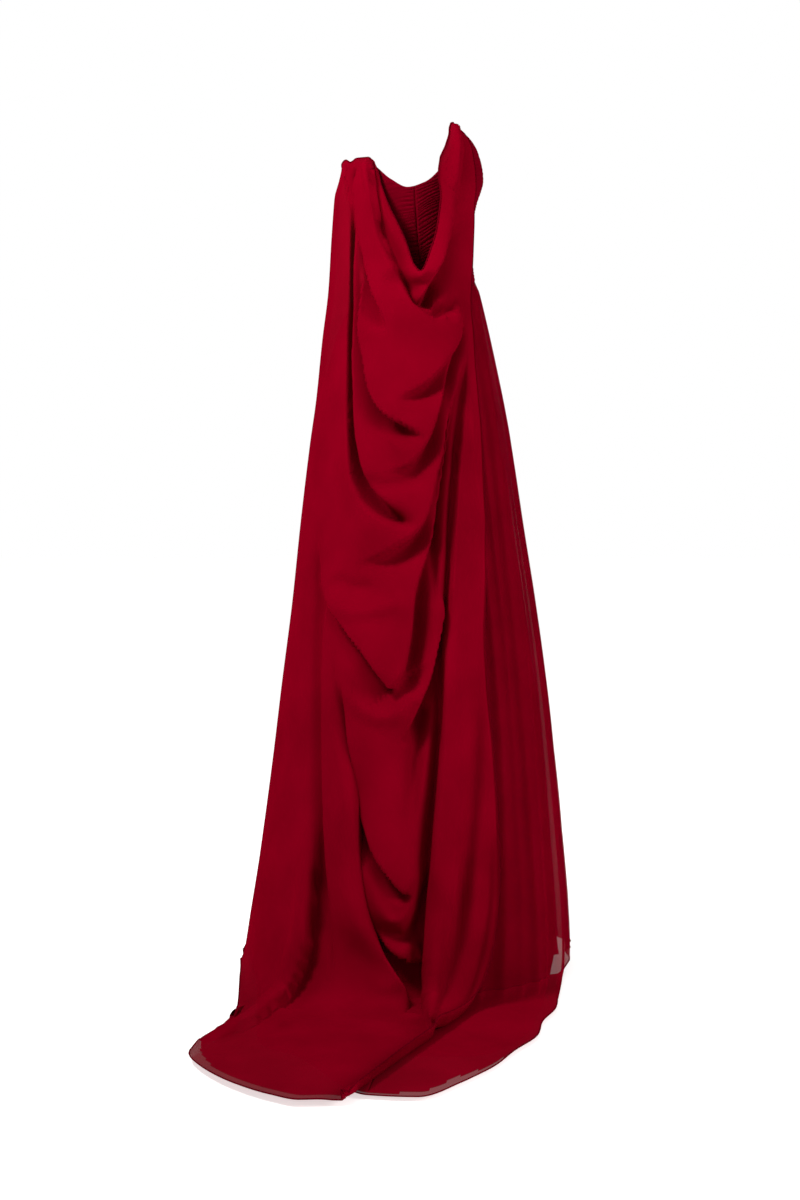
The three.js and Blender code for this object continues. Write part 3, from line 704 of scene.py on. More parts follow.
@dataclass(frozen=True)
class Fold:
    """A fold along a line of (forward, height) points; a run on the floor is below 0.

    Cloth on the left hand of the line rises by rise and fades over inner; beyond the
    line it drops within edge, lies dip deep and comes back over outer. The lip leans
    over the hollow by curl. Fade is the share of the line over which each end dies out,
    and spread makes its widths, as taper its heights, change from end to end. A fold
    without a dip is a plain ridge, or a plain crease where its rise is below 0.
    """

    name: str
    rise: float
    dip: float
    inner: float
    outer: float
    line: tuple[tuple[float, float], ...]
    edge: float = 3.0
    curl: float = 5.0
    fade: tuple[float, float] = (0.3, 0.3)
    taper: tuple[float, float] = (1.0, 1.0)
    spread: tuple[float, float] = (1.0, 1.0)

    def path(self, steps: int = 9) -> Array:
        """Smooth path through the line's points.

        Args:
            steps: Steps from one point to the next.

        Returns:
            Forward and along of each step, one row each.
        """
        p = np.array(self.line, float)
        p = np.vstack([2 * p[0] - p[1], p, 2 * p[-1] - p[-2]])
        t = np.linspace(0.0, 1.0, steps, endpoint=False)[:, None]
        spans = [
            0.5
            * (
                2 * b
                + (c - a) * t
                + (2 * a - 5 * b + 4 * c - d) * t**2
                + (3 * b - a - 3 * c + d) * t**3
            )
            for a, b, c, d in zip(p, p[1:], p[2:], p[3:])
        ]
        return np.vstack([*spans, p[-2:-1]])

    def measure(self, spots: Array) -> tuple[Array, Array, Array]:
        """Distance, share along the line and direction across it for many spots.

        Args:
            spots: Forward and along of each spot, one row each.

        Returns:
            Signed distances, positive on the left hand, shares along the line, and the
            unit directions towards the raised side.
        """
        path = self.path()
        nearest = np.full(len(spots), np.inf)
        signed = np.zeros(len(spots))
        share = np.zeros(len(spots))
        across = np.zeros((len(spots), 2))
        count = len(path) - 1
        for i in range(count):
            way = path[i + 1] - path[i]
            rel = spots - path[i]
            t = np.clip(rel @ way / (way @ way), 0.0, 1.0)
            gap = rel - t[:, None] * way
            reach = np.hypot(gap[:, 0], gap[:, 1])
            side = np.where(way[0] * gap[:, 1] - way[1] * gap[:, 0] < 0.0, -1.0, 1.0)
            closer = reach < nearest
            nearest = np.where(closer, reach, nearest)
            signed = np.where(closer, side * reach, signed)
            share = np.where(closer, (i + t) / count, share)
            left = np.array([-way[1], way[0]]) / np.hypot(*way)
            across[closer] = left
        return signed, share, across

    def shape(self, spots: Array) -> tuple[Array, Array]:
        """Height of the fold and its sideways lean at many spots.

        Args:
            spots: Forward and along of each spot, one row each.

        Returns:
            Heights, and moves along the cloth as forward and along.
        """
        height = np.zeros(len(spots))
        move = np.zeros((len(spots), 2))
        reach = FOLD_REACH * max(self.inner, self.outer) * max(self.spread)
        low = np.min(self.line, axis=0) - reach
        high = np.max(self.line, axis=0) + reach
        near = np.all((spots > low) & (spots < high), axis=1)
        if not near.any():
            return height, move
        signed, share, across = self.measure(spots[near])
        start, end = self.fade
        live = np.ones_like(share)
        if start > 0.0:
            live = live * smooth(share, 0.0, start)
        if end > 0.0:
            live = live * smooth(1.0 - share, 0.0, end)
        live = live * blend(self.taper[0], self.taper[1], share)
        signed = signed / blend(self.spread[0], self.spread[1], share)
        step = smooth(signed, -self.edge, self.edge)
        above = np.maximum(signed - self.edge, 0.0)
        below = np.maximum(-signed - self.edge, 0.0)
        lift = step * self.rise * bell(above, self.inner)
        lift = lift - (1.0 - step) * self.dip * bell(below, self.outer)
        lean = -step * self.curl * bell(above, LEAN_ABOVE * self.inner)
        back = bell(below, LEAN_BELOW * self.outer)
        lean = lean + LEAN_BACK * self.curl * (1.0 - step) * back
        if self.dip == 0.0:
            lift = self.rise * bell(signed, self.inner)
            lean = np.zeros_like(signed)
        height[near] = lift * live
        move[near] = across * (lean * live)[:, None]
        return height, move


# ------------------------------------------------------------------ skirt


@dataclass
class SkirtLayer:
    """One layer of the skirt: its hem, how it stands and how full it is."""

    name: str
    hem: Table
    finish: bpy.types.Material
    slot: str
    wall_mm: float
    lie: float  # height of its upper face where it lies on the floor
    clear: float  # its hem hangs so far above the floor where it has no train
    flute: float  # how much of the flutes it shows
    inset: float  # how far inside the sections it is sewn at the waist
    stand_off: float  # and how far outside them it stands lower down
    gather: float  # how much of the gathering it shows
    shape: tuple[int, int]
    hemmed: bool


@dataclass
class Skirt:
    """Gathered skirt of an opaque layer under a sheer one, with a train on the right."""

    under_finish: bpy.types.Material
    outer_finish: bpy.types.Material
    doubled_finish: bpy.types.Material
    hem_finish: bpy.types.Material
    seam_gap: float = 0.3  # between the skirt and the bodice at the waist
    waist_setting: float = 60.0  # the cloth keeps to its seam within this
    stand_off_drop: float = 260.0  # and stands off in full this far below it
    foot_share: float = 0.8  # share of a layer's length above the floor
    hem_flare: float = 0.2  # share of the floor's turn that a hem without a train takes
    train_least: float = 60.0  # a train longer than this takes all of it
    train_start: float = 80.0  # and one longer than this lies on the floor
    ply_share: float = 0.045  # share of the train's length that is one ply
    ply_more: float = 1.2  # which is more by this share where it is widest
    ply_wide_angle: float = 24.0
    ply_breadth: float = 9.0
    ply_least: float = 150.0  # a shorter train is one ply
    gathers: int = 74  # folds of the gathering round the waist
    gather_start: float = 16.0  # they start within this below the seam
    gather_end: tuple[float, float] = (20.0, 120.0)  # and die out over this run on the floor
    fine_depth: float = 2.4  # of the fine ones, which lie close to the waist
    fine_sharpness: float = 0.8
    fine_end: tuple[float, float] = (0.05, 0.45)  # shares of the drop from the waist
    broad_depth: float = 6.0  # of the broad ones, into which they open out
    broad_spacing: float = 1.7
    broad_drift: float = 1.5
    broad_start: tuple[float, float] = (0.02, 0.3)
    gather_wanders: tuple[tuple[float, float, float], ...] = (
        # swing, waves round the body, drift down it
        (0.9, 5.0, 2.3), (0.5, 11.0, -4.1),
    )
    sections: Table = Table(
        "height centre front back right left",
        (1127, 8, 98, -77, 115, 115), (1090, 3, 106, -102, 127, 127), (1040, -4, 115, -122, 141, 142),
        (940, -6, 130, -141, 160, 164), (840, -6, 144, -158, 172, 180), (740, -5, 159, -168, 182, 195),
        (610, -5, 180, -180, 195, 213), (480, -6, 198, -196, 208, 230), (350, -8, 212, -214, 222, 248),
        (210, -10, 225, -236, 238, 266), (90, -12, 234, -254, 251, 280), (0, -14, 237, -262, 262, 288),
    )
    under_hem: Table = Table(
        "angle forward right",
        (-90, -262, 10), (-70, -248, 235), (-45, -232, 480), (-20, -170, 548), (5, -40, 560),
        (25, 75, 560), (42, 150, 470), (60, 186, 325), (78, 211, 118), (90, 223, 0),
    )
    outer_hem: Table = Table(
        "angle forward right",
        (-90, -268, 10), (-70, -240, 225), (-45, -215, 480), (-20, -150, 620), (0, -70, 772),
        (14, 0, 782), (27, 60, 712), (40, 118, 592), (53, 171, 448), (65, 198, 318), (78, 228, 130),
        (90, 248, 0),
    )
    flutes: tuple[tuple[float, float, float, float], ...] = (
        # waist, hem, rise, width
        (50, 38, 8, 6), (62, 52, 13, 6), (74, 67, 16, 6), (86, 83, 8, 6), (99, 100, 13, 7),
        (116, 119, 17, 8), (134, 138, 14, 8), (152, 156, 19, 8), (171, 175, 15, 8), (190, 193, 18, 8),
        (209, 212, 14, 8), (228, 230, 16, 8),
    )

    def flute_lift(self, angle: Array, height: Array) -> Array:
        """Lift of the large flutes, growing from waist to hem.

        Args:
            angle: Directions round the body.
            height: Heights above the floor.

        Returns:
            Lifts in millimetres.
        """
        drop = np.sqrt(np.clip((WAIST_HEIGHT - height) / WAIST_HEIGHT, 0.0, 1.0))
        full = np.where(angle < -90.0, angle + 360.0, angle)
        lift = np.zeros_like(full + height)
        for waist, hem, rise, width in self.flutes:
            lift = lift + rise * drop * bell(full - blend(waist, hem, drop), width)
        return lift

    def gathering(self, angle: Array, height: Array) -> Array:
        """Small gathers that start at the waist seam and open out as they fall.

        Args:
            angle: Directions round the body.
            height: Heights above the floor.

        Returns:
            Lifts in millimetres.
        """
        drop = np.clip((WAIST_HEIGHT - height) / WAIST_HEIGHT, 0.0, 1.0)
        turn = np.radians(angle)
        wander = sum(
            swing * np.sin(turn * waves + drop * drift)
            for swing, waves, drift in self.gather_wanders
        )
        fine = np.abs(np.sin(turn * self.gathers / 2.0 + wander)) ** self.fine_sharpness
        fine = self.fine_depth * fine * (1.0 - smooth(drop, *self.fine_end))
        wander = 2.0 * wander + drop * self.broad_drift
        broad = 0.5 + 0.5 * np.sin(turn * self.gathers / self.broad_spacing + wander)
        broad = self.broad_depth * broad**2 * smooth(drop, *self.broad_start)
        return smooth(WAIST_HEIGHT - height, 0.0, self.gather_start) * (fine + broad)

    def offset(self, layer: SkirtLayer, height: Array) -> Array:
        """Distance of a layer's outer face from the skirt's sections at heights."""
        drop = smooth(WAIST_HEIGHT - height, 0.0, self.stand_off_drop)
        return layer.stand_off * drop - layer.inset

    def lines(self, low: float, high: float) -> tuple[Array, Array]:
        """Lines from waist to hem that follow the flutes.

        Args:
            low: Direction of the first seam.
            high: Direction of the last seam.

        Returns:
            The lines' directions at the waist and at the hem.
        """
        marks = [f for f in self.flutes if low < f[0] < high]
        waist = np.array([low, *[f[0] for f in marks], high], float)
        hem = np.array([low, *[f[1] for f in marks], high], float)
        return waist, hem

    def layers(self) -> tuple[SkirtLayer, SkirtLayer]:
        """The skirt's two layers.

        Returns:
            The opaque layer and the sheer one over it.
        """
        under = SkirtLayer(
            name="under_skirt", slot="under_fabric", finish=self.under_finish, wall_mm=1.2,
            hem=self.under_hem, hemmed=False, lie=1.4, clear=-6.0, flute=0.25, inset=1.8,
            stand_off=0.0, gather=0.0, shape=(90, 110),
        )
        outer = SkirtLayer(
            name="outer_skirt", slot="skirt_chiffon", finish=self.outer_finish, wall_mm=1.1,
            hem=self.outer_hem, hemmed=True, lie=6.4, clear=6.0, flute=1.0, inset=0.0,
            stand_off=9.0, gather=1.0, shape=(220, 210),
        )
        return under, outer

    def floor_way(self, layer: SkirtLayer, angle: Array) -> tuple[Array, Array, Array]:
        """Way of each line along the floor, from where it meets it to the hem.

        Args:
            layer: The layer.
            angle: Directions round the body.

        Returns:
            The way's forward and right parts, and its length, 0 where there is no train.
        """
        floor = np.zeros_like(angle)
        foot = ring(self.sections, angle, floor)
        foot_f, foot_r = foot.pushed(self.offset(layer, floor))
        side = np.clip(angle, -90.0, 90.0)
        run_f = layer.hem.read("forward", side) - foot_f
        run_r = layer.hem.read("right", side) - foot_r
        length = np.hypot(run_f, run_r)
        safe = np.maximum(length, TINY)
        on_left = angle > 90.0
        to_f = np.where(on_left, foot.out_forward, run_f / safe)
        to_r = np.where(on_left, foot.out_right, run_r / safe)
        return to_f, to_r, np.where(on_left, 0.0, length)

    def course(self, layer: SkirtLayer, down: Array, length: Array) -> Array:
        """How each line of a layer goes down from the waist seam.

        Args:
            layer: The layer.
            down: Shares of its length.
            length: Lengths of the lines from where they meet the floor to the hem.

        Returns:
            Height while the cloth hangs, minus its run once it lies.
        """
        lies = smooth(length, 0.0, self.train_start)
        foot_at = blend(layer.clear, 0.0, lies)
        end_at = blend(layer.clear, hem_end(length), lies)
        hangs = blend(WAIST_HEIGHT - self.seam_gap, foot_at, down / self.foot_share)
        rests = blend(foot_at, end_at, (down - self.foot_share) / (1.0 - self.foot_share))
        return np.where(down < self.foot_share, hangs, rests)

    def face(self, layer: SkirtLayer, low: float, high: float) -> tuple[Array, Array]:
        """Spots on the outer face of a layer between two seams.

        Args:
            layer: The layer.
            low: Direction of the first seam.
            high: Direction of the last seam.

        Returns:
            A grid of forward, right and height, and where the train lies doubled.
        """
        across, down = even_grid(layer.shape)
        at_waist = blend(low, high, across)
        at_hem = np.interp(at_waist, *self.lines(low, high))
        angle = blend(at_waist, at_hem, np.sqrt(down))
        turned = np.where(angle > 270.0, angle - 360.0, angle)
        to_f, to_r, length = self.floor_way(layer, turned)
        along = self.course(layer, down, length)
        height, run = settle(along)
        gathers = self.gathering(angle, height) * (1.0 - smooth(run, *self.gather_end))
        push = self.offset(layer, height)
        push = push + layer.flute * self.flute_lift(angle, height) + layer.gather * gathers
        here = ring(self.sections, turned, np.minimum(height, WAIST_HEIGHT))
        forward, right = here.pushed(push)
        run = run * blend(self.hem_flare, 1.0, smooth(length, 0.0, self.train_least))
        hang = smooth(WAIST_HEIGHT - along, 0.0, self.waist_setting)
        top = blend(along, height + layer.lie * lies_low(along), hang)
        left = (1.0 - down) / (1.0 - self.foot_share)
        wide = bell(turned - self.ply_wide_angle, self.ply_breadth)
        step = self.ply_share * (1.0 + self.ply_more * wide)
        doubled = (down > self.foot_share) & (left > step) & (length > self.ply_least)
        return np.stack([forward + to_f * run, right + to_r * run, top], axis=-1), doubled

    def build(self) -> None:
        """Builds both layers, each of a front and a back panel."""
        for layer in self.layers():
            for side, low, high in (("front", 0.0, 180.0), ("back", 180.0, 360.0)):
                spots, doubled = self.face(layer, low, high)
                sheet = ClothSheet(
                    name=f"{layer.name}_{side}_panel",
                    slot=layer.slot,
                    finish=layer.finish,
                    wall_mm=layer.wall_mm,
                    nodes=(f"{layer.name}_{side}",),
                    held="gathered",
                    rests_on=("bodice_front_cover",),
                    plies=self.doubled_finish,
                )
                if layer.hemmed:
                    hem = RolledHem(f"{layer.name}_{side}_hem", layer.slot, self.hem_finish)
                    hem.sew(spots[-1])
                sheet.lay(spots, doubled)


# ------------------------------------------------------------------ side drape


DRAPE_FOLDS: tuple[Fold, ...] = (
    # name, rise, dip, inner, outer, line
    Fold("first gather", 8, 0, 5, 5, ((-114, 1318), (-117, 1296), (-119, 1262)), fade=(0.0, 0.7)),
    Fold("crease beside the first gather", -10, 0, 4, 4, ((-105, 1318), (-107, 1283), (-101, 1248)),
        fade=(0.0, 0.4)),
    Fold("second gather", 8, 0, 4, 4, ((-98, 1318), (-98, 1290), (-95, 1255)), fade=(0.0, 0.6)),
    Fold("third gather", 6, 0, 4, 4, ((-88, 1318), (-86, 1295), (-82, 1250)), fade=(0.0, 0.6)),
    Fold("fourth gather", 6, 0, 4, 4, ((-76, 1318), (-72, 1290), (-65, 1245)), fade=(0.0, 0.6)),
    Fold("gather at the cup's peak", 7, 0, 5, 5, ((60, 1373), (62, 1345), (60, 1300), (54, 1250)),
        fade=(0.0, 0.4)),
    Fold("cowl collar, front side", 13, 24, 22, 24, ((3, 1086), (15, 1106), (26, 1129), (35, 1150),
        (41, 1176), (47, 1199), (55, 1230), (61, 1262), (68, 1289), (72, 1320), (71, 1345), (66, 1366)),
        curl=3, fade=(0.05, 0.0), spread=(0.8, 0.8)),
    Fold("second cowl, lip", 16, 22, 44, 20, ((73, 1098), (64, 1086), (52, 1071), (36, 1065),
        (22, 1065), (3, 1078), (-12, 1105), (-29, 1146), (-42, 1177), (-51, 1202), (-58, 1240),
        (-63, 1278), (-67, 1312)), curl=3, fade=(0.25, 0.0), taper=(1.0, 0.6), spread=(1.2, 0.25)),
    Fold("cowl collar, underside", 6, 12, 16, 18, ((-28, 1144), (-13, 1128), (8, 1124), (27, 1137)),
        edge=8, curl=2),
    Fold("cowl collar, back crease", -11, 0, 5, 5, ((-60, 1308), (-54, 1278), (-46, 1249), (-38, 1226),
        (-29, 1206)), fade=(0.1, 0.5)),
    Fold("hollow behind the second lip", 8, 34, 14, 20, ((-92, 1306), (-89, 1262), (-82, 1226),
        (-73, 1190), (-64, 1150), (-54, 1104), (-45, 1066), (-38, 1040)), edge=2, curl=10,
        fade=(0.1, 0.3)),
    Fold("slot, cascade side", 12, 34, 12, 5, ((-97, 1262), (-96, 1220), (-94, 1182), (-93, 1109),
        (-93, 1038), (-90, 984), (-86, 935), (-80, 870), (-67, 817), (-54, 797), (-35, 775), (-15, 758),
        (2, 745)), curl=6, fade=(0.25, 0.3), spread=(0.45, 2.6)),
    Fold("slot, back fall side", 12, 30, 30, 12, ((2, 745), (-32, 753), (-56, 766), (-75, 789),
        (-88, 819), (-97, 870), (-103, 939), (-105, 1038), (-106, 1110)), curl=2, fade=(0.15, 0.5),
        spread=(1.3, 0.6)),
    Fold("third swag, back side", 16, 38, 44, 22, ((-85, 1165), (-81, 1123), (-78, 1083), (-73, 1038),
        (-66, 1002), (-60, 960), (-50, 932), (-36, 914), (-15, 901), (1, 889), (12, 877)), edge=2,
        curl=6, fade=(0.3, 0.35), spread=(0.5, 0.9)),
    Fold("third swag, front side", 10, 24, 36, 18, ((-37, 936), (-18, 943), (-2, 952), (16, 966),
        (33, 986), (47, 1009), (57, 1031), (65, 1056), (70, 1081)), fade=(0.5, 0.15), taper=(1.2, 0.5),
        spread=(1.5, 0.45)),
    Fold("fourth swag, front side", 11, 26, 36, 17, ((-55, 830), (-27, 832), (-7, 841), (8, 862),
        (19, 885), (27, 911), (35, 940), (44, 971), (57, 1006), (66, 1036), (73, 1065)),
        fade=(0.4, 0.15), taper=(1.2, 0.45), spread=(1.4, 0.4)),
    Fold("fourth swag, crease", -7, 0, 9, 9, ((-71, 832), (-61, 818), (-46, 811), (-24, 812), (1, 821),
        (18, 836))),
    Fold("fifth swag, front side", 12, 30, 40, 20, ((-102, 679), (-72, 691), (-52, 699), (-32, 712),
        (-12, 726), (2, 740), (13, 759), (21, 787), (28, 823), (38, 859), (44, 892), (54, 932),
        (66, 971), (76, 1010)), fade=(0.4, 0.15), taper=(1.2, 0.4), spread=(1.5, 0.35)),
    Fold("fifth swag, foot", -7, 0, 12, 12, ((-126, 672), (-115, 659), (-96, 651), (-72, 651),
        (-47, 663))),
    Fold("sixth swag, ridge", 8, 0, 13, 13, ((-142, 666), (-130, 639), (-113, 625), (-88, 616),
        (-55, 619), (-27, 632), (-7, 649)), fade=(0.2, 0.3)),
    Fold("sixth swag, back side", 15, 32, 44, 26, ((-154, 750), (-152, 708), (-147, 684), (-140, 658),
        (-127, 633), (-116, 615), (-100, 595), (-84, 573), (-67, 550), (-52, 527), (-38, 506),
        (-31, 497)), edge=2.5, curl=9, fade=(0.3, 0.03), spread=(0.5, 1.1)),
    Fold("sixth swag, front side", 10, 32, 34, 26, ((-31, 497), (-19, 517), (-12, 550), (-6, 590),
        (-3, 628), (2, 659), (13, 695), (26, 735), (35, 780), (43, 827), (52, 875), (60, 923),
        (69, 971)), fade=(0.12, 0.15), taper=(1.0, 0.35), spread=(1.1, 0.3)),
    Fold("seventh swag, ridge", 8, 0, 14, 14, ((-121, 545), (-112, 510), (-97, 484), (-75, 464),
        (-52, 454), (-29, 459), (-10, 477), (7, 500), (21, 532), (32, 572)), fade=(0.2, 0.2)),
    Fold("seventh swag, front side", 8, 32, 26, 22, ((-25, 410), (-15, 429), (-5, 450), (7, 480),
        (19, 511), (28, 549), (38, 594), (45, 649)), fade=(0.35, 0.1), spread=(1.3, 0.5)),
    Fold("seventh swag, pocket", -18, 0, 12, 12, ((14, 480), (7, 440), (0, 400), (-4, 350), (-7, 300),
        (-10, 260)), fade=(0.1, 0.6)),
    Fold("seventh swag, back side", 10, 26, 40, 14, ((-113, 510), (-108, 477), (-100, 432), (-92, 395),
        (-84, 354), (-78, 316), (-70, 280), (-57, 243), (-38, 213), (-19, 190), (-4, 178)), edge=2.5,
        curl=9, fade=(0.3, 0.1)),
    Fold("pleat beside the front fall", 10, 34, 34, 18, ((83, 1027), (78, 971), (74, 911), (69, 851),
        (63, 791), (59, 732), (55, 670), (51, 610), (45, 541), (42, 449), (35, 355), (30, 299),
        (23, 216), (19, 169), (14, 90), (11, 33), (14, -60), (21, -140), (22, -190)), fade=(0.15, 0.05),
        taper=(0.3, 1.2), spread=(0.35, 1.1)),
    Fold("pleat beside the back fall", 8, 24, 26, 14, ((-143, 700), (-142, 604), (-144, 524),
        (-142, 442), (-141, 372), (-139, 303), (-135, 212), (-131, 113), (-128, 35)), edge=4,
        fade=(0.15, 0.3)),
    Fold("lowest cowl, ridge", 8, 0, 11, 11, ((-79, 280), (-74, 234), (-65, 191), (-51, 152),
        (-37, 136), (-19, 143), (-1, 173), (11, 216), (21, 262)), fade=(0.2, 0.2)),
    Fold("lowest cowl, outer lip", 12, 26, 22, 18, ((-89, 350), (-88, 316), (-87, 279), (-85, 234),
        (-78, 186), (-66, 143), (-46, 105), (-24, 79), (-3, 69), (13, 72)), edge=2.5, curl=9,
        fade=(0.35, 0.03)),
    Fold("lowest cowl, hollow", -20, 0, 12, 12, ((-70, 168), (-56, 132), (-33, 113), (-13, 110),
        (7, 138), (17, 178), (22, 225)), fade=(0.4, 0.2)),
    Fold("back train roll", 20, 0, 11, 11, ((-322, -290), (-292, -232), (-264, -160), (-240, -90),
        (-216, 0), (-194, 60), (-181, 110), (-176, 160), (-171, 220), (-166, 290), (-162, 370)),
        fade=(0.15, 0.4), taper=(0.1, 1.0)),
    Fold("back train fold", 26, 24, 20, 26, ((-323, -309), (-291, -260), (-261, -190), (-233, -116),
        (-205, -24), (-181, 34), (-167, 85), (-163, 130), (-159, 190), (-154, 250), (-151, 330)),
        curl=11, fade=(0.1, 0.35), taper=(0.25, 1.0)),
    Fold("finger fold", 28, 22, 28, 26, ((10, -60), (-10, 3), (-30, 38), (-52, 79), (-70, 126),
        (-80, 168), (-86, 215), (-89, 260), (-89, 321), (-93, 358), (-101, 400), (-112, 450),
        (-124, 520), (-130, 600)), edge=5, curl=7, fade=(0.15, 0.45)),
    Fold("valley of the train", -18, 0, 22, 22, ((-101, 134), (-84, 100), (-63, 69), (-43, 43),
        (-24, 16), (-1, -32), (18, -117)), fade=(0.5, 0.1)),
    Fold("front fall's panel", 8, 8, 24, 16, ((22, -180), (32, -47), (38, 32), (44, 89), (56, 152),
        (65, 215), (74, 274)), edge=6, curl=3, fade=(0.1, 0.3)),
    Fold("front edge's roll", 26, 8, 34, 22, ((120, 345), (122, 290), (125, 234), (127, 173),
        (121, 111), (112, 62), (98, 14), (81, -36), (49, -122), (23, -193), (-8, -276), (-35, -349),
        (-61, -422), (-85, -486), (-96, -505)), edge=7, curl=8, fade=(0.3, 0.0), taper=(1.0, 0.45)),
    Fold("front fall, soft hump", 8, 0, 13, 13, ((63, 571), (66, 448), (67, 325), (52, 171), (38, 34))),
    Fold("front fall, soft hollow", -12, 0, 11, 13, ((100, 569), (98, 416), (85, 263), (67, 137),
        (50, 10))),
    Fold("upper fall, soft streak", -10, 0, 7, 9, ((58, 1014), (48, 894), (35, 792), (30, 689),
        (33, 541)), fade=(0.25, 0.3)),
    Fold("front edge, soft streak", 9, 0, 7, 9, ((78, 1048), (85, 945), (91, 842), (106, 728),
        (105, 635), (109, 535))),
    Fold("step across the train", 5, 0, 16, 16, ((-210, -128), (-189, -122), (-129, -101), (-69, -101),
        (-24, -112))),
)


@dataclass
class SideDrape:
    """One large piece of chiffon sewn to the cup and the back band: cowl, cascade, train."""

    finish: bpy.types.Material
    single_finish: bpy.types.Material
    hem_finish: bpy.types.Material
    bodice: Bodice
    skirt: Skirt
    wall_mm: float = 1.2
    nodes: tuple[str, ...] = (
        "drape_back_fall", "drape_cowl", "drape_cascade", "drape_front_fall", "drape_train",
    )
    back_angle: float = -108.0  # direction of its back edge
    corner_share: float = 0.06  # shares of its width: the back corner
    slot_share: float = 0.28  # the slot behind the cascade
    pleat_share: float = 0.83  # and the pleat beside the front fall
    cowl_share: float = 0.16  # shares of its length: the foot of the cowl
    lying_share: float = 0.84  # and where it meets the floor
    cowl_foot: float = 1040.0  # height of the first
    seat_share: float = 0.5  # it is sewn to the back band before this share, then to the cup
    back_seat: float = 1318.0  # height of its seam on the band
    cup_seat: float = 1373.0  # and on the cup
    seat_drop: float = 55.0  # it hangs free this far below the seam
    fold_drop: float = 6.0  # and has its folds from here
    seat: float = 2.4  # distance from the bodice at the seam
    ease: float = 3.0  # and so much more below it
    ease_drop: float = 30.0  # from this far down
    layer_clearance: float = 5.5  # distance from the skirt
    lie: float = 11.5  # height of its upper face where it lies on the floor
    single_from: float = 0.15  # it is in one ply past this share of its width
    ply_share: float = 0.05  # over this share of the train's length
    ply_more: float = 1.6  # which is more by this share where it is widest
    ply_wide_share: float = 0.2
    ply_breadth: float = 0.06
    belly: float = 12.0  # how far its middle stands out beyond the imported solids
    belly_back: tuple[float, float] = (-130.0, -80.0)  # from none to all of it, going forward
    belly_front: tuple[float, float] = (80.0, 30.0)  # going back
    belly_low: tuple[float, float] = (60.0, 240.0)  # and going up
    back_flute: float = 7.0  # depth of the soft flutes of its back
    back_wave: float = 13.0  # degrees from one to the next
    back_growth: tuple[float, float] = (1250.0, 300.0)  # they grow between these heights
    seen_from: tuple[float, float] = (-92.0, -76.0)  # and its folds between these directions
    upright: tuple[float, float] = (20.0, 55.0)  # folds turn to face the side between these
    least_slant: float = 0.4
    hollow_limit: float = 0.9  # share of the room under the drape that a hollow may take
    lying_limit: float = 2.5  # and its depth where the drape lies
    lying_run: tuple[float, float] = (10.0, 60.0)
    sections: Table = Table(
        "height centre front back right corner",
        (1373, -5, 96, -124, 138, 2), (1310, -3, 109, -126, 142, 2), (1250, 0, 108, -131, 147, 2),
        (1195, 3, 103, -135, 154, 2), (1115, 5, 110, -140, 168, 2), (1035, 0, 133, -150, 188, 2),
        (940, -4, 153, -160, 207, 2), (870, -5, 164, -170, 218, 2), (740, -5, 182, -186, 233, 2),
        (610, -5, 203, -200, 247, 2.05), (480, -6, 221, -217, 260, 2.1), (350, -8, 236, -233, 274, 2.2),
        (210, -10, 250, -252, 291, 2.4), (90, -12, 258, -269, 306, 2.7), (0, -14, 262, -280, 318, 3),
    )
    lines: Table = Table(
        "height slot pleat edge",
        (1373, -104, 60, 67), (1354, -104, 66, 76), (1330, -104, 70, 80), (1285, -104, 71, 82),
        (1262, -104, 77, 88), (1228, -103, 82, 94), (1167, -102, 83, 92), (1095, -100, 78, 88),
        (1026, -99, 77, 92), (941, -98, 76, 99), (880, -104, 72, 104), (800, -122, 68, 106),
        (700, -141, 60, 106), (600, -143, 50, 106), (500, -142, 46, 112), (400, -141, 42, 121),
        (300, -140, 34, 127), (200, -137, 24, 129), (100, -132, 16, 121), (0, -127, 10, 96),
    )
    top_edge: Table = Table(
        "share height",
        (0.0, 1300), (0.06, 1311), (0.16, 1318), (0.21, 1320), (0.26, 1315), (0.31, 1320), (0.38, 1320),
        (0.4, 1316), (0.425, 1306), (0.448, 1268), (0.478, 1229), (0.505, 1190), (0.535, 1148),
        (0.562, 1137), (0.598, 1174), (0.647, 1229), (0.684, 1268), (0.706, 1312), (0.72, 1325),
        (0.733, 1338), (0.75, 1350), (0.768, 1360), (0.79, 1366.5), (0.825, 1372.5), (0.87, 1374.5),
        (0.93, 1369.5), (1.0, 1357),
    )
    hem: Table = Table(
        "share forward right",
        (0.0, -279, -90), (0.06, -284, 60), (0.12, -275, 280), (0.155, -270, 405), (0.185, -293, 470),
        (0.21, -320, 530), (0.235, -327, 575), (0.28, -306, 645), (0.4, -250, 736), (0.55, -200, 787),
        (0.68, -160, 812), (0.83, -115, 806), (1.0, -92, 808),
    )
    folds: tuple[Fold, ...] = DRAPE_FOLDS
    columns: tuple[int, int, int, int] = (6, 44, 88, 18)
    rows: tuple[int, int, int] = (30, 198, 68)

    def shares(self) -> tuple[Array, Array]:
        """Shares of the drape's width and of its length that its grid takes."""
        across = spaced((self.corner_share, self.slot_share, self.pleat_share), self.columns)
        return across, spaced((self.cowl_share, self.lying_share), self.rows)

    def angle(self, share: Array, height: Array) -> Array:
        """Direction round the body of each line of the drape.

        Args:
            share: Shares of the drape's width.
            height: Heights above the floor.

        Returns:
            Directions in degrees.
        """
        level = np.maximum(height, 0.0)
        centre = self.sections.read("centre", level)
        front = self.sections.read("front", level) - centre
        back = centre - self.sections.read("back", level)
        corner = self.sections.read("corner", level)

        def toward(name: str) -> Array:
            """Direction of a line.

            Args:
                name: The line, whose forward place the table gives.

            Returns:
                Directions in degrees.
            """
            off = self.lines.read(name, level) - centre
            part = np.minimum(np.abs(off) / np.where(off > 0.0, front, back), 1.0)
            return np.degrees(np.sign(off) * np.arcsin(part ** (corner / 2.0)))

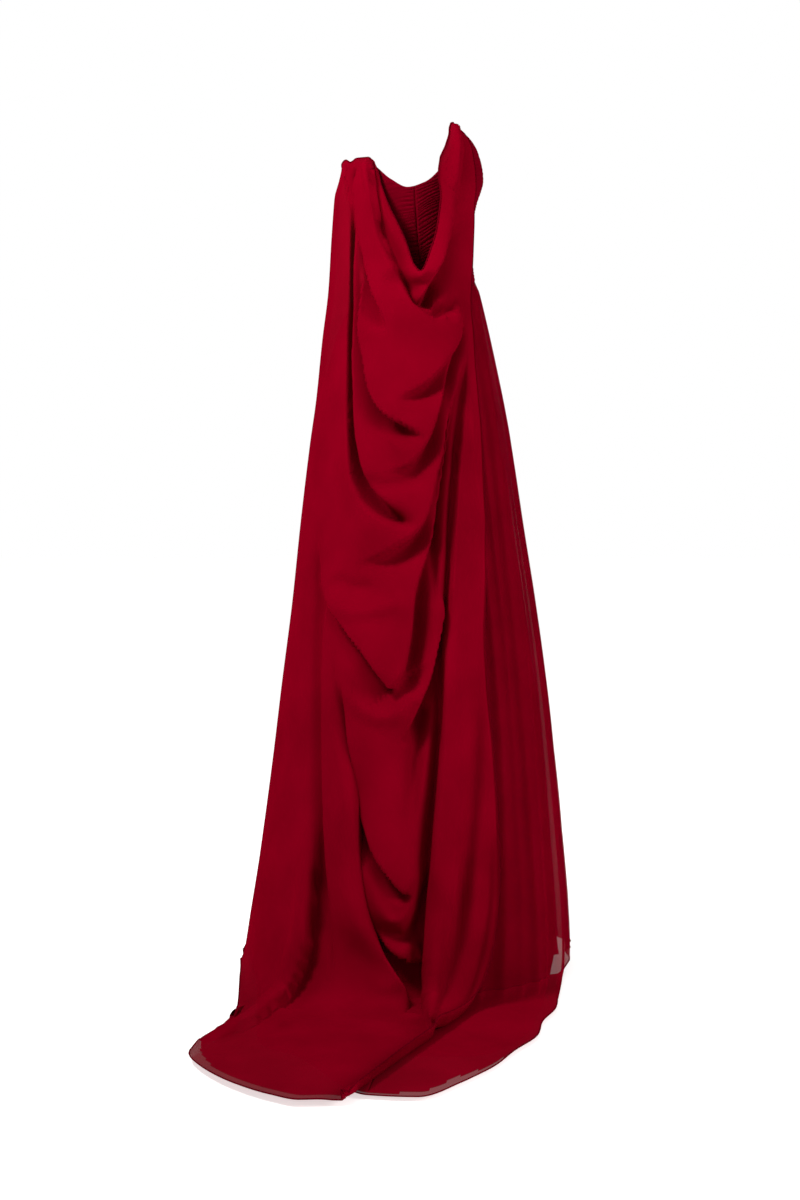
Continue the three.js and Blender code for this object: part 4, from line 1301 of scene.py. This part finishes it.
        slot, pleat, edge = toward("slot"), toward("pleat"), toward("edge")
        first = blend(self.back_angle, slot, share / self.slot_share)
        middle = (share - self.slot_share) / (self.pleat_share - self.slot_share)
        last = (share - self.pleat_share) / (1.0 - self.pleat_share)
        angle = np.where(share < self.slot_share, first, blend(slot, pleat, middle))
        return np.where(share < self.pleat_share, angle, blend(pleat, edge, last))

    def floor_way(self, share: Array) -> tuple[Array, Array, Array]:
        """Way of each line along the floor, from where it meets it to the hem.

        Args:
            share: Shares of the drape's width.

        Returns:
            The way's forward and right parts, and its length.
        """
        floor = np.zeros_like(share)
        foot = ring(self.sections, self.angle(share, floor), floor)
        run_f = self.hem.read("forward", share) - foot.forward
        run_r = self.hem.read("right", share) - foot.right
        length = np.hypot(run_f, run_r)
        return run_f / length, run_r / length, length

    def under(self, angle: Array, height: Array, ease: Array) -> tuple[Array, Array]:
        """Closest that the drape's outer face may come to the body of the gown.

        Args:
            angle: Directions round the body.
            height: Heights above the floor.
            ease: 0 where the drape is sewn on, 1 where it hangs clear.

        Returns:
            Forward and right of the places.
        """
        on_bodice = self.bodice.surface(
            angle, np.maximum(height, WAIST_HEIGHT), self.seat + ease * self.ease
        )
        level = np.minimum(height, WAIST_HEIGHT)
        on_skirt = ring(self.skirt.sections, angle, level)
        outer = self.skirt.layers()[1]
        push = self.skirt.offset(outer, level) + self.skirt.flute_lift(angle, level)
        skirt_f, skirt_r = on_skirt.pushed(push + self.layer_clearance)
        above = height > WAIST_HEIGHT
        return np.where(above, on_bodice.forward, skirt_f), np.where(above, on_bodice.right, skirt_r)

    def course(self, share: Array, down: Array, length: Array) -> Array:
        """How each line of the drape goes down from its top edge.

        Args:
            share: Shares of the drape's width.
            down: Shares of its length.
            length: Lengths of the lines from where they meet the floor to the hem.

        Returns:
            Height while the cloth hangs, minus its run once it lies.
        """
        top = self.top_edge.read("height", share)
        hanging = (down - self.cowl_share) / (self.lying_share - self.cowl_share)
        in_cowl = blend(top, self.cowl_foot, down / self.cowl_share)
        hangs = blend(self.cowl_foot, 0.0, hanging)
        rests = hem_end(length) * (down - self.lying_share) / (1.0 - self.lying_share)
        above = np.where(down < self.cowl_share, in_cowl, hangs)
        return np.where(down < self.lying_share, above, rests)

    def face(self) -> tuple[Array, Array]:
        """Spots on the drape's outer face, with its folds, and where it is one ply.

        Returns:
            A grid of forward, right and height, and whether each place is one ply.
        """
        share, down = np.meshgrid(*self.shares())
        to_f, to_r, length = self.floor_way(share)
        along = self.course(share, down, length)
        height, run = settle(along)
        angle = self.angle(share, height)
        here = ring(self.sections, angle, height)
        seat_height = np.where(share < self.seat_share, self.back_seat, self.cup_seat)
        drop = seat_height - height
        ease = smooth(drop, 0.0, self.ease_drop)
        under_f, under_r = self.under(angle, height, ease)
        room = (here.forward - under_f) * here.out_forward
        room = room + (here.right - under_r) * here.out_right
        free = smooth(drop, 0.0, self.seat_drop)
        hang = np.maximum(room, 0.0) * free - room
        forward, right = here.pushed(hang)
        level = height + self.lie * lies_low(along)
        base = np.stack([forward + to_f * run, right + to_r * run, level], axis=-1)
        spots = np.stack([base[..., 0], along], axis=-1)
        loose = smooth(drop, 0.0, self.fold_drop)
        left = (1.0 - down) / (1.0 - self.lying_share)
        wide = bell(share - self.ply_wide_share, self.ply_breadth)
        step = self.ply_share * (1.0 + self.ply_more * wide)
        single = (left < step) & (share > self.single_from)
        room = np.maximum(room, 0.0) * free
        return self.folded(base, spots, angle, room, loose, run), single

    def folded(
        self, base: Array, spots: Array, angle: Array, room: Array, free: Array, run: Array
    ) -> Array:
        """Lays the folds on the hanging form.

        Args:
            base: The form without its folds.
            spots: Forward and along of each place, which the folds' lines follow.
            angle: Directions round the body.
            room: Distance to what lies under the drape.
            free: 0 where the drape is sewn on, 1 where it hangs.
            run: Run along the floor.

        Returns:
            The folded form.
        """
        flat = spots.reshape(-1, 2)
        lift = np.zeros(len(flat))
        move = np.zeros((len(flat), 2))
        for fold in self.folds:
            height, lean = fold.shape(flat)
            lift += height
            move += lean
            log.debug("%s: %.0f mm", fold.name, np.abs(height).max())
        lift = lift.reshape(angle.shape)
        move = move.reshape((*angle.shape, 2))
        reach, level = spots[..., 0], spots[..., 1]
        middle = smooth(reach, *self.belly_back) * smooth(reach, *self.belly_front)
        middle = middle * smooth(level, *self.belly_low)
        seen = smooth(angle, *self.seen_from) * free
        wave = 0.5 - 0.5 * np.cos(np.radians(angle - self.back_angle) * 360.0 / self.back_wave)
        hidden = self.back_flute * wave * (free - seen) * smooth(level, *self.back_growth)
        lying = smooth(run, *self.lying_run)
        normal = facing(base)
        turned = (smooth(np.abs(angle), *self.upright) * (1.0 - lying))[..., None]
        toward = unit(blend(normal, np.array([0.0, 1.0, 0.0]), turned))
        slant = np.maximum((toward * normal).sum(axis=-1), self.least_slant)
        deepest = -blend(room * self.hollow_limit / slant, self.lying_limit, lying)
        lift = np.maximum((lift + self.belly * middle) * seen, deepest) + hidden
        forward = unit(np.gradient(base, axis=1))
        upward = -unit(np.gradient(base, axis=0))
        moved = base + toward * lift[..., None]
        moved = moved + forward * (move[..., 0] * seen)[..., None]
        return moved + upward * (move[..., 1] * seen)[..., None]

    def build(self) -> None:
        """Builds the drape with its rolled hems."""
        spots, single = self.face()
        edges = {
            "neck": spots[0, :, :],
            "front_edge": spots[:, -1, :],
            "train_edge": spots[-1, ::-1, :],
            "back_edge": spots[::-1, 0, :],
        }
        hems = [
            RolledHem(f"drape_hem_{name}", "drape_chiffon", self.hem_finish).sew(edge)
            for name, edge in edges.items()
        ]
        sheet = ClothSheet(
            name="side_drape",
            slot="drape_chiffon",
            finish=self.finish,
            wall_mm=self.wall_mm,
            nodes=self.nodes,
            held="draped",
            rests_on=("bodice_front_cover", "outer_skirt_back_panel"),
            plies=self.single_finish,
        )
        sheet.lay(spots, single)


# ------------------------------------------------------------------ studio


@dataclass(frozen=True)
class SoftLight:
    """A soft square light in metres, with a grid that narrows it to a spread in degrees."""

    name: str
    at: tuple[float, float, float]
    aim: tuple[float, float, float]
    size: float
    power: float
    spread: float

    def add(self) -> None:
        """Adds the light to the scene."""
        lamp = bpy.data.lights.new(self.name, "AREA")
        lamp.shape = "SQUARE"
        lamp.size = self.size
        lamp.energy = self.power
        lamp.spread = math.radians(self.spread)
        holder = add_object(self.name, lamp)
        holder.location = self.at
        turn_along(holder, Vector(self.aim) - Vector(self.at))


@dataclass
class Studio:
    """Pale floor, soft lights and the camera, in metres."""

    floor_level: float = -UNDERARM_HEIGHT * MM
    floor_reach: float = 9.0
    floor_roughness: float = 0.9
    camera_distance: float = 4.2
    camera_height: float = 1.0
    camera_side: float = 0.024
    camera_tilt: float = 5.2807  # degrees below level
    lens: float = 77.25  # millimetres, as is the sensor's width
    sensor: float = 36.0
    ambient: float = 0.26  # how much light the surround gives
    backdrop: float = 1.0  # and how bright it looks
    even: float = 0.56  # light of the ceiling panel, alike on the whole floor
    even_way: tuple[float, float, float] = (0.3, -0.2, -1.0)
    even_softness: float = 40.0
    glow: float = 0.63  # the floor is lit from below, so that it stays white
    lights: tuple[SoftLight, ...] = (
        SoftLight("key", (-1.1, 1.2, 1.2), (-0.1, 0.0, -0.15), size=0.55, power=16.5, spread=95.0),
        SoftLight("fill", (-1.9, -3.0, 0.4), (-0.1, 0.0, -0.5), size=1.4, power=70.0, spread=180.0),
    )

    def floor(self) -> None:
        """Builds a pale flat floor."""
        shape = bmesh.new()
        bmesh.ops.create_grid(shape, x_segments=1, y_segments=1, size=self.floor_reach)
        bmesh.ops.translate(shape, vec=(0.0, 0.0, self.floor_level), verts=shape.verts)
        paint = bpy.data.materials.new("opal acrylic light table")
        paint.use_nodes = True
        shader = paint.node_tree.nodes["Principled BSDF"]
        shader.inputs["Base Color"].default_value = linear("#F2F1EF")
        shader.inputs["Roughness"].default_value = self.floor_roughness
        shader.inputs["Emission Color"].default_value = linear("#FFFFFF")
        shader.inputs["Emission Strength"].default_value = self.glow
        add_shape("sweep", shape, paint)

    def surround(self) -> None:
        """Adds the white surround, which looks brighter than the light that it gives."""
        world = bpy.data.worlds.new("white surround")
        world.use_nodes = True
        background = world.node_tree.nodes["Background"]
        background.inputs["Color"].default_value = linear("#FFFFFF")
        rays = add_node(world.node_tree, "ShaderNodeLightPath")
        strength = add_node(
            world.node_tree,
            "ShaderNodeMapRange",
            {"To Min": self.ambient, "To Max": self.backdrop},
            {"Value": rays.outputs["Is Camera Ray"]},
        )
        world.node_tree.links.new(strength.outputs["Result"], background.inputs["Strength"])
        bpy.context.scene.world = world

    def ceiling(self) -> None:
        """Adds the even light from a ceiling panel."""
        lamp = bpy.data.lights.new("ceiling panel", "SUN")
        lamp.energy = self.even
        lamp.angle = math.radians(self.even_softness)
        turn_along(add_object("ceiling panel", lamp), Vector(self.even_way))

    def camera(self) -> None:
        """Adds the camera and makes it the scene's."""
        lens = bpy.data.cameras.new("camera")
        lens.sensor_width = self.sensor
        lens.lens = self.lens
        holder = add_object("camera", lens)
        height = self.camera_height + self.floor_level
        holder.location = (-self.camera_distance, self.camera_side, height)
        tilt = math.radians(self.camera_tilt)
        turn_along(holder, Vector((math.cos(tilt), 0.0, -math.sin(tilt))))
        bpy.context.scene.camera = holder

    def build(self) -> None:
        """Builds the floor, the surround, the lights and the camera."""
        self.floor()
        self.surround()
        for light in self.lights:
            light.add()
        self.ceiling()
        self.camera()
        bpy.context.scene.view_settings.view_transform = "Standard"


def main() -> None:
    """Builds the gown and its studio and reports each piece."""
    logging.basicConfig(level=logging.INFO, format="%(name)s: %(message)s")
    Studio().build()
    red, shade = "#7A0016", "#6A0011"
    doubled = SilkCloth("doubled crimson silk chiffon", red, shade, Layer.DOUBLED).material()
    single = SilkCloth("single crimson silk chiffon", red, shade, Layer.SINGLE).material()
    sheer = SilkCloth("sheer crimson silk chiffon", red, shade, Layer.SHEER).material()
    ruched = SilkCloth("ruched crimson chiffon", "#660012", "#5A000F", Layer.OPAQUE).material()
    lining = SilkCloth(
        "crimson habotai lining", "#600014", "#560010", Layer.OPAQUE, roughness=0.5
    ).material()
    hem = SilkCloth("rolled chiffon hem", "#5C000F", "#4E000C", Layer.OPAQUE).material()
    bodice = Bodice(ruched)
    bodice.build()
    skirt = Skirt(lining, sheer, doubled, hem)
    skirt.build()
    SideDrape(doubled, single, hem, bodice, skirt).build()


if __name__ == "__main__":
    main()
